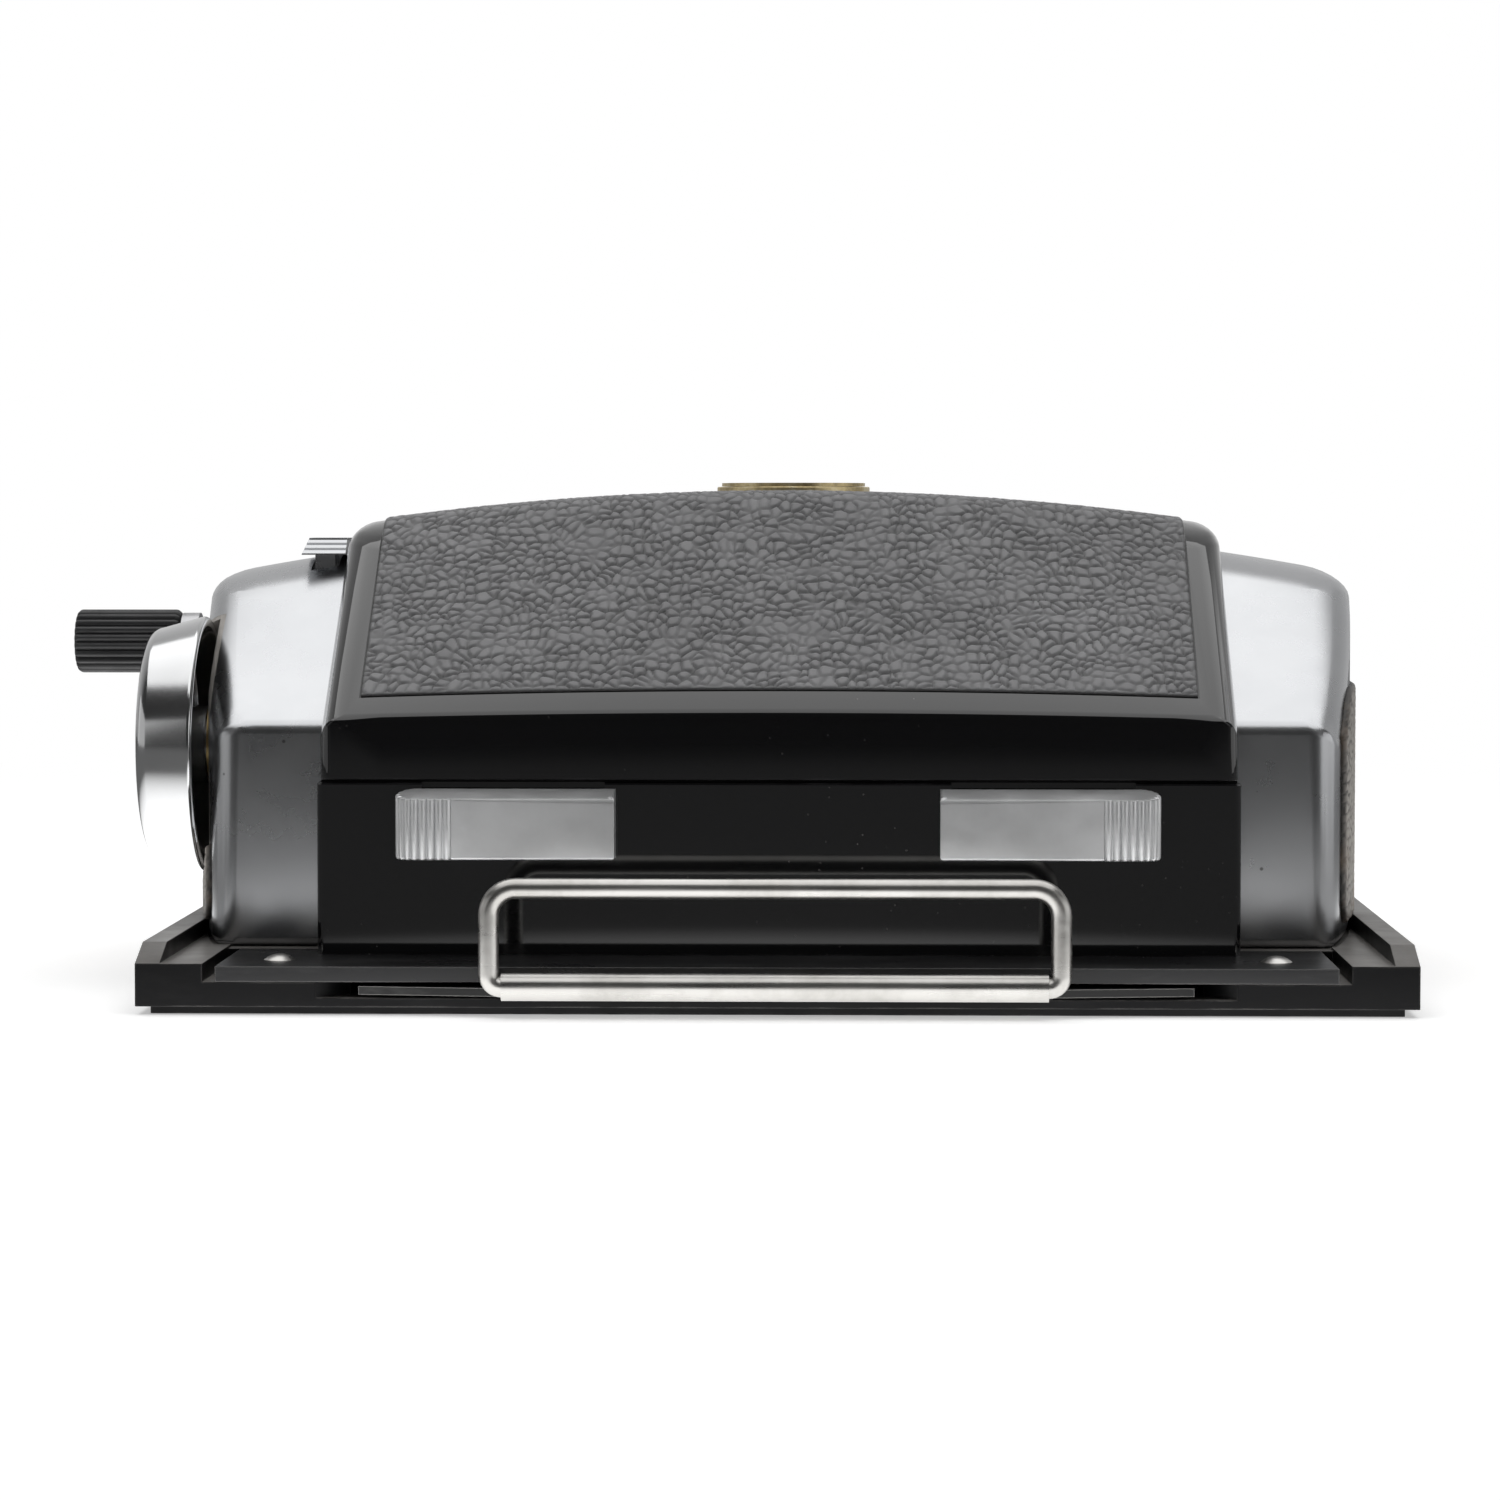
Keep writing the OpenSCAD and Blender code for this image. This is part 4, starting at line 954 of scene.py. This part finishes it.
def make_end_leather(side):
    """The pebbled patch on a casing's bulged end, inside its hip-shaped outline."""
    node = ("right" if side > 0 else "left") + "_end_leather"
    lo, hi = span(node)
    step = 0.22
    margin = 3.0
    z_rows = np.linspace(lo.z, hi.z, round((hi.z - lo.z) / step) + 1)
    v_cols = np.linspace(-1, 1, round(2 * CASING_HALF_Y / step) + 1)
    v, z = np.meshgrid(v_cols, z_rows)
    slope_loss = np.clip(z - CASING_SHOULDER + 1.2, 0, None) / math.tan(SLOPE)
    half = CASING_HALF_Y - margin - slope_loss
    corner = 3.0
    near_foot = np.clip(lo.z + corner - z, 0, corner)
    near_head = np.clip(z - hi.z + corner, 0, corner)
    near = np.maximum(near_foot, near_head)
    half = half - (corner - np.sqrt(np.clip(corner ** 2 - near ** 2, 0, None)))
    y = v * half
    grain = pebbles(y + 90, z + 90, 0.95, SEED + 20, 1.1)
    edge = np.minimum(np.minimum(z - lo.z, hi.z - z), (1 - np.abs(v)) * half)
    roll = rolled(edge)
    lift = 0.62 * (0.3 + 0.7 * roll) + 0.16 * (grain - 1)
    corner_x = CASING_X1 + (0 if side > 0 else LEFT_WIDER)
    surface = corner_x + CASING_BULGE * (1 - np.square(y / CASING_HALF_Y))
    sheets = [np.stack([side * x, y, z], 2) for x in (surface + lift, surface - 0.1)]
    height = grain * np.clip(edge / 0.3, 0, 1)
    if side < 0:
        sheets, height = [sheet[:, ::-1] for sheet in sheets], height[:, ::-1]
    skin = grid_piece(node + "_skin", sheets, height, "end_leather", "root", node)
    if side < 0:
        _, cy, cz = crank_center()
        lo, hi = span("counter_window")
        cut(skin, [rod_bmesh(WELL_R + 0.3, (-70, -50), cy, cz, 96),
                   rod_bmesh((hi.z - lo.z) / 2 + 0.2, (-70, -50), (lo.y + hi.y) / 2,
                             (lo.z + hi.z) / 2)])
    return skin


# ---------------------------------------------------------------- crank

CRANK_TURN = 36
CUP_TAPER = 1.35
CUP_WALL = 1.0
CUP_BOSS = 4.0
CUP_BORE = 2.6
# The knob's ribs run out of this radius
RIB_INNER = 2.6
RIB_DEEP = 0.34
KNOB_RIBS = 22
# Along X, across and along the arm before the crank is turned
NOTCH = ((-63.8, -61.6), (7.0, 15.1), (-3.2, 3.2))


def crank_center():
    """The middle of the cup's open side."""
    return (CUP_HI.x, (CUP_LO.y + CUP_HI.y) / 2, (CUP_LO.z + CUP_HI.z) / 2)


def make_cup():
    """The winding cup: open towards the casing, with a shallow ring pressed into its face."""
    rim = (CUP_HI.z - CUP_LO.z) / 2
    depth = CUP_HI.x - CUP_LO.x
    end = rim - CUP_TAPER
    floor = depth - 1.2
    inner = [(floor, CUP_BOSS), (floor, end - 2.2)] + arc(floor - 1, end - 2.2, 1.0, 0, 90, 5)
    inner += [(0.5, rim - CUP_WALL - 0.1), (0.12, rim - CUP_WALL)]
    lip = arc(0.5, rim - 0.5, 0.5, 180, 90, 5)
    side = arc(depth - 1.6, end - 1.35, 1.6, 84, 0, 9)
    face = [(depth, 8.2), (depth - 0.18, 7.9), (depth - 0.18, 4.3), (depth, 4.0), (depth, CUP_BORE)]
    profile = [(0, CUP_BORE), (0, CUP_BOSS)] + inner + lip + side + face + [(0, CUP_BORE)]
    bm, _ = lathe(profile, crank_center(), 144)
    bmesh.ops.remove_doubles(bm, verts=bm.verts, dist=0.001)
    notch_cup(to_piece("crank_cup_shell", bm, "cup_chrome", "crank", ["crank_cup"]))


def notch_cup(cup):
    """The opening in the cup's wall that the folded-out arm passes through."""
    _, y, z = crank_center()
    turned = Matrix.Rotation(math.radians(CRANK_TURN), 4, "X")
    slot = box_bmesh(*NOTCH)
    bmesh.ops.transform(slot, matrix=Matrix.Translation((0, y, z)) @ turned, verts=slot.verts)
    cut(cup, [slot])
    smooth_flat(cup)


def make_knob():
    """A ribbed knob with rounded ends and a recess round its screw."""
    cx, cy, cz = (KNOB_LO + KNOB_HI) / 2
    half = (KNOB_HI.x - KNOB_LO.x) / 2
    radius = (KNOB_HI.z - KNOB_LO.z) / 2
    round_r = 0.55
    outline = [(-half, 1.36), (-half, RIB_INNER - 0.2)]
    outline += [(-half + p, r) for p, r in arc(round_r, radius - round_r, round_r, 180, 90, 6)]
    outline += [(half - round_r + p, r) for p, r in arc(0, radius - round_r, round_r, 90, 0, 6)]
    outline += [(half, 2.55), (half - 0.25, 2.35), (half - 1.3, 2.3), (half - 1.35, 1.36)]
    bm = bmesh.new()
    rings = []
    count = KNOB_RIBS * 10
    for along, r in outline:
        deep = RIB_DEEP * min(1.0, max(0.0, r - RIB_INNER) / 0.6)
        ring = []
        for i in range(count):
            a = 2 * math.pi * i / count
            wave = 0.5 - 0.5 * math.cos(a * KNOB_RIBS)
            rr = r - deep * (1 - wave ** 0.45)
            ring.append(bm.verts.new((cx - along, cy + rr * math.cos(a), cz + rr * math.sin(a))))
        rings.append(ring)
    bridge(bm, rings + rings[:1])
    to_piece("crank_knob_grip", bm, "knob_black", "crank_knob", ["crank_knob"], crisp=50)


# ---------------------------------------------------------------- release tab

TAB_FOOT = 43.75
TAB_GROOVES = 5
TAB_STEPS = 3
TAB_NECK_X = (-49.2, -47.1)


def make_tab():
    """The release tab: a ribbed pad that slopes down to the front, on a neck through the casing."""
    lo, hi = span("release_tab")
    y0, y1 = lo.y, hi.y
    top = hi.z
    start = TAB_FOOT + 0.15
    profile = [(y1, TAB_FOOT), (y0, TAB_FOOT), (y0, start)]
    slope_y = y0 + (top - start) / math.tan(SLOPE)
    for i in range(TAB_STEPS):
        for t, deep in ((0.08, 0), (0.62, 0), (0.7, 0.3), (0.92, 0.3)):
            f = (i + t) / TAB_STEPS
            profile.append((y0 + (slope_y - y0) * f + deep * 0.64,
                            start + (top - start) * f - deep * 0.76))
    profile.append((slope_y, top))
    for i in range(1, TAB_GROOVES):
        y = slope_y + (y1 - slope_y) * i / TAB_GROOVES
        profile += [(y - 0.32, top), (y - 0.22, top - 0.5), (y + 0.22, top - 0.5), (y + 0.32, top)]
    profile.append((y1, top))
    bm = bmesh.new()
    rise = top - TAB_FOOT
    ends = [[bm.verts.new((x + lean * (z - TAB_FOOT) / rise, y, z)) for y, z in profile]
            for x, lean in ((lo.x, 0.6), (hi.x, 0.0))]
    bm.faces.new(ends[0])
    bm.faces.new(ends[1][::-1])
    bridge(bm, ends[::-1])
    bevel_edges(bm, sharp_edges(bm, 50), 0.05, 1)
    add_bmesh(bm, box_bmesh(TAB_NECK_X, (y0 + 2, y1 - 2), (lo.z, TAB_FOOT + 0.1)))
    to_piece("release_tab_pad", bm, "satin_chrome", "release_tab", ["release_tab"])


# ---------------------------------------------------------------- dark slide and bail


def make_bail():
    """The wire loop that pulls the slide, with tighter corners at the hem."""
    y = (BAIL_LO.y + BAIL_HI.y) / 2
    r = (BAIL_HI.y - BAIL_LO.y) / 2
    x1 = BAIL_HI.x - r
    z0 = BAIL_LO.z + r
    z1 = BAIL_HI.z - r
    low, high = 1.2, 2.6
    path = []
    corners = [(x1 - high, z1 - high, high, 0, 90), (high - x1, z1 - high, high, 90, 180),
               (low - x1, z0 + low, low, 180, 270), (x1 - low, z0 + low, low, 270, 360)]
    for cx, cz, radius, a0, a1 in corners:
        path += [Vector((x, y, z)) for x, z in arc(cx, cz, radius, a0, a1, 10)]
    to_piece("slide_bail_wire", tube(path, r, 28), "steel", "bail", ["slide_bail"])


def make_dark_slide():
    """A blackened blade whose front edge is rolled into a bright hem."""
    slide = refine("dark_slide", "steel", "dark_slide", 0.08)
    slide.data.materials.append(MATERIALS["slide_black"])
    hem_half = BAIL_HI.x - 1.0
    hem_back = SLIDE_LO.y + 2.75
    for face in slide.data.polygons:
        middle = face.center / MM
        if abs(middle.x) > hem_half or middle.y > hem_back:
            face.material_index = 1


# ---------------------------------------------------------------- levers

LEVER_DEEP = 4.0
LEVER_TOP = LEVER_Z0 + 6.0
LEVER_RISE = 0.8
LEVER_RIB = 0.8
# Along the edge's height, into the edge, on the upper side
LEVER_RINGS = ((0, 1, False), (0.3, 0.3, False), (1, 0, False), (-1, 0, True), (-0.3, 0.3, True),
               (0, 1, True))


def lever_plan(x0, x1, front, back):
    """The right lever seen from above: a tapered bar whose outer end is round and ribbed. Each
    point comes with its outward normal."""
    rib_x = x1 - 5.6
    r = (back - front) / 2
    cx, cy = x1 - r, front + r
    flat = front + 0.32
    path = [((rib_x + (cx - rib_x) * i / 56, front), (0, -1)) for i in range(57)]
    for i in range(1, 91):
        a = math.radians(2 * i - 90)
        path.append(((cx + r * math.cos(a), cy + r * math.sin(a)), (math.cos(a), math.sin(a))))
    length = 0.0
    ribbed = []
    before = path[0][0]
    for p, n in path:
        length += math.dist(p, before)
        before = p
        wave = abs(math.sin(math.pi * length / LEVER_RIB))
        fade = min(1.0, (path[-1][0][1] - p[1]) / 1.2)
        deep = 0.42 * (1 - wave ** 0.6) * max(0.0, fade)
        ribbed.append(((p[0] - n[0] * deep, p[1] - n[1] * deep), n))
    return [((x0, flat + 0.65), (-1, 0)), ((x0, flat + 0.35), (0, -1)), ((rib_x, flat), (0, -1)),
            *ribbed, ((x0, back), (0, 1))]


def lever_ring(bm, plan, share, inset, at_top):
    """One ring of the lever's form, on its lower or its sloping upper side. share and inset say how
    far into the rounded edge it lies."""
    x0, x1, front = LEVER_LO.x, LEVER_HI.x, LEVER_LO.y
    back = front + LEVER_DEEP
    ring = []
    for (x, y), (nx, ny) in plan:
        edge = 0.28
        if at_top and ny < -0.9:
            edge += 0.4 * max(0.0, 1 - (x - x0) / 15)
        into = inset * edge
        top = LEVER_TOP + LEVER_RISE * (y - front) / LEVER_DEEP
        px = min(max(x - nx * into, x0 + into), x1 - into * max(nx, 0))
        py = min(max(y - ny * into, front + into * max(-ny, 0)), back - into)
        ring.append(bm.verts.new((px, py, (top if at_top else LEVER_Z0) + share * edge)))
    return ring


def make_lever(side):
    """side is 1 for the right lever and -1 for the left, its mirror image."""
    word = "right" if side > 0 else "left"
    node, body = word + "_latch_lever", word + "_lever"
    plan = lever_plan(LEVER_LO.x, LEVER_HI.x, LEVER_LO.y, LEVER_LO.y + LEVER_DEEP)
    bm = bmesh.new()
    rings = [lever_ring(bm, plan, *place) for place in LEVER_RINGS]
    bridge(bm, rings)
    bm.faces.new(rings[0])
    bm.faces.new(rings[-1])
    bmesh.ops.remove_doubles(bm, verts=bm.verts, dist=0.001)
    if side < 0:
        mirrored(bm)
    lever = to_piece(node + "_grip", bm, "satin_aluminium", body, [node], crisp=40)
    flatten_shading(lever)
    make_tongue(node, body)


def make_tongue(node, body):
    """The part of the lever that goes through the wall and carries the hook."""
    bm = node_bmesh(node)
    y_out = LEVER_LO.y + LEVER_DEEP - 0.1
    bmesh.ops.bisect_plane(bm, geom=list(bm.verts) + list(bm.edges) + list(bm.faces), dist=1e-4,
                           plane_co=(0, y_out, 0), plane_no=(0, 1, 0), clear_inner=True)
    to_piece(node + "_tongue", bm, "inner_steel", body, [node])


# ---------------------------------------------------------------- everything


def make_plain_pieces():
    """Parts whose CAD form is right: their edges are broken and they get a finish."""
    for node, material, width in (
            ("mount_frame", "frame_black", 0.22), ("slide_guide_plate", "plate_black", 0.15),
            ("memo_dial_base", "dial_gold", 0.12),
            ("film_carrier", "frame_black", 0.2), ("pressure_plate", "frame_black", 0.2)):
        body = frame["nodes"][node]["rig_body"]
        refine(node, material, body, width)


def make_side_plates():
    """The plates inside the casings, lowered under the arch as the casings are."""
    for node in ("gear_plate", "right_side_plate"):
        bm = node_bmesh(node)
        bmesh.ops.triangulate(bm, faces=[f for f in bm.faces if len(f.verts) > 4])
        for v in bm.verts:
            share = max(0.0, (v.co.z - CASING_SHOULDER + 1) / (CASING_CROWN - CASING_SHOULDER))
            low = min(1.0, share) * v.co.x ** 2 / (2 * ARCH_R)
            v.co.z -= low if v.co.z > CASING_SHOULDER - 1 else 0
        to_piece(node + "_sheet", bm, "inner_steel", "root", [node])


# The finish of each CAD node that is shown as it is
FINISHES = {
    "steel": ["guide_plate_screws", "cup_screw"],
    "velvet": ["slide_light_trap", "body_light_seal"],
    "inner_steel": [
        "frame_screws", "cover_catches", "cover_hinge_pin", "latch_springs", "crank_arm",
        "crank_pin", "wind_shaft", "gear_axles", "release_tab_spring", "front_guide_roller",
        "rear_guide_roller", "roller_axles", "pressure_springs", "take_up_pin", "supply_pin",
        "spool_pin_springs", "supply_brake_pin"],
    "brass": ["shaft_bushes", "wind_gear", "compound_gear", "counter_gear"],
    "dial_gold": ["memo_dial"],
    "dial_white": ["counter_dial"],
    "window": ["counter_window"],
    "spool_plastic": ["take_up_spool", "supply_spool"],
}


def finish_cad_nodes():
    for material, nodes in FINISHES.items():
        for node in nodes:
            materials = frame["nodes"][node].data.materials
            materials.clear()
            materials.append(MATERIALS[material])


def make_object():
    make_body()
    make_cover()
    make_tab()
    make_cover_leather()
    make_casing(1)
    make_casing(-1)
    make_end_leather(1)
    make_end_leather(-1)
    make_cup()
    make_knob()
    make_bail()
    make_dark_slide()
    make_lever(1)
    make_lever(-1)
    make_side_plates()
    make_plain_pieces()
    finish_cad_nodes()


# ---------------------------------------------------------------- stage

# The floor's reach and tone, how far its painted pool of light stays bright, where it has gone dim,
# the painted glow that other pieces meet in the bright part, its painted dim tone beyond, and the
# glow that the camera sees
FLOOR_FAR = 6.0
PAPER = 0.88
PAPER_NEAR = 0.085
PAPER_FAR = 0.125
PAPER_PAINTED_GLOW = 1.2
PAPER_PAINTED_DIM = 0.2
SEEN_GLOW = 0.4
# The room's brightness from the front (0) to the back (1)
ROOM = ((0.0, 0.03), (0.45, 0.05), (0.62, 0.3), (1.0, 0.7))


def area_light(name, place, target, size, radiance):
    """A softbox of this brightness per unit area, facing its target."""
    light = bpy.data.lights.new(name, "AREA")
    light.shape = "RECTANGLE"
    light.size, light.size_y = size
    light.energy = radiance * math.pi * size[0] * size[1]
    obj = bpy.data.objects.new(name, light)
    bpy.context.scene.collection.objects.link(obj)
    obj.location = place
    obj.visible_camera = False
    obj.rotation_mode = "QUATERNION"
    obj.rotation_quaternion = (Vector(target) - Vector(place)).to_track_quat("-Z", "Y")


def seen_or_lit(tree, seen, lit, target):
    """The camera sees one shader, and every other ray meets the other."""
    path = add_node(tree, "LightPath").outputs["Is Camera Ray"]
    mix = add_node(tree, "MixShader", {"Fac": path, 1: lit, 2: seen})
    tree.links.new(mix.outputs["Shader"], target)


def make_floor():
    """White paper with a painted pool of light: pale and glowing round the object, painted dim in the
    room beyond.
    """
    mesh = bpy.data.meshes.new("floor")
    corners = [(x * FLOOR_FAR, y * FLOOR_FAR, 0) for x, y in ((-1, -1), (1, -1), (1, 1), (-1, 1))]
    mesh.from_pydata(corners, [], [(0, 1, 2, 3)])
    floor = linked("floor", mesh)
    n = Nodes("floor_paper", rough=0.9, spec=0.1)
    reach = n.add("VectorMath", {0: n.coord}, operation="LENGTH").outputs["Value"]
    # Painted pool of light: the paper's tone and its glow fall off with distance from the object.
    n.color(n.ramp(reach, (PAPER_NEAR, PAPER), (PAPER_FAR, PAPER_PAINTED_DIM)))
    n.bsdf.inputs["Emission Color"].default_value = (1, 1, 1, 1)
    n.link(n.ramp(reach, (PAPER_NEAR, PAPER_PAINTED_GLOW), (PAPER_FAR, 0.0)),
           n.bsdf.inputs["Emission Strength"])
    paper = n.add("BsdfDiffuse", {"Color": (PAPER, PAPER, PAPER, 1)}).outputs["BSDF"]
    glow = n.add("Emission", {"Strength": SEEN_GLOW}).outputs["Emission"]
    near = n.add("AddShader", {0: paper, 1: glow}).outputs["Shader"]
    white = n.add("Emission").outputs["Emission"]
    sweep = n.add("MixShader", {"Fac": n.ramp(reach, (0.14, 0.0), (0.4, 1.0)), 1: near, 2: white})
    seen_or_lit(n.tree, sweep.outputs["Shader"], n.bsdf.outputs["BSDF"], n.out.inputs["Surface"])
    mesh.materials.append(n.mat)


def make_world():
    """A white background to look at. What lights the object is dark in front and paler behind."""
    world = bpy.data.worlds.new("studio")
    bpy.context.scene.world = world
    world.use_nodes = True
    tree = world.node_tree
    tree.nodes.clear()
    out = add_node(tree, "OutputWorld")
    seen = add_node(tree, "Background", {"Color": (1, 1, 1, 1)})
    split = add_node(tree, "SeparateXYZ", {0: add_node(tree, "TexCoord").outputs["Generated"]})
    depth = add_node(tree, "MapRange", {"From Min": -1, "From Max": 1, "Value": split.outputs["Y"]})
    room = color_ramp(tree, depth.outputs["Result"], ROOM)
    lit = add_node(tree, "Background", {"Color": room})
    seen_or_lit(tree, seen.outputs["Background"], lit.outputs["Background"], out.inputs["Surface"])


def make_lights():
    area_light("overhead", (0.0, -0.1, 0.75), (0, -0.1, 0), (1.2, 1.1), 1.4)
    area_light("right_panel", (0.75, -0.25, 0.18), (0, 0, 0.03), (0.9, 0.34), 0.9)
    area_light("left_panel", (-0.75, -0.25, 0.18), (0, 0, 0.03), (0.9, 0.34), 0.55)


def make_camera():
    """Nearly level, in front of the dark slide's side, with a long lens."""
    data = bpy.data.cameras.new("camera")
    data.sensor_width = 36
    data.lens = 109.4
    data.clip_start = 0.01
    data.clip_end = 50
    camera = bpy.data.objects.new("camera", data)
    bpy.context.scene.collection.objects.link(camera)
    camera.location = (0.009, -0.489, 0.0482)
    camera.rotation_mode = "QUATERNION"
    camera.rotation_quaternion = Vector((-0.0263, 1.0, -0.0522)).to_track_quat("-Z", "Y")
    bpy.context.scene.camera = camera


make_camera()
make_object()
make_floor()
make_world()
make_lights()
bpy.context.scene.view_settings.view_transform = "Standard"
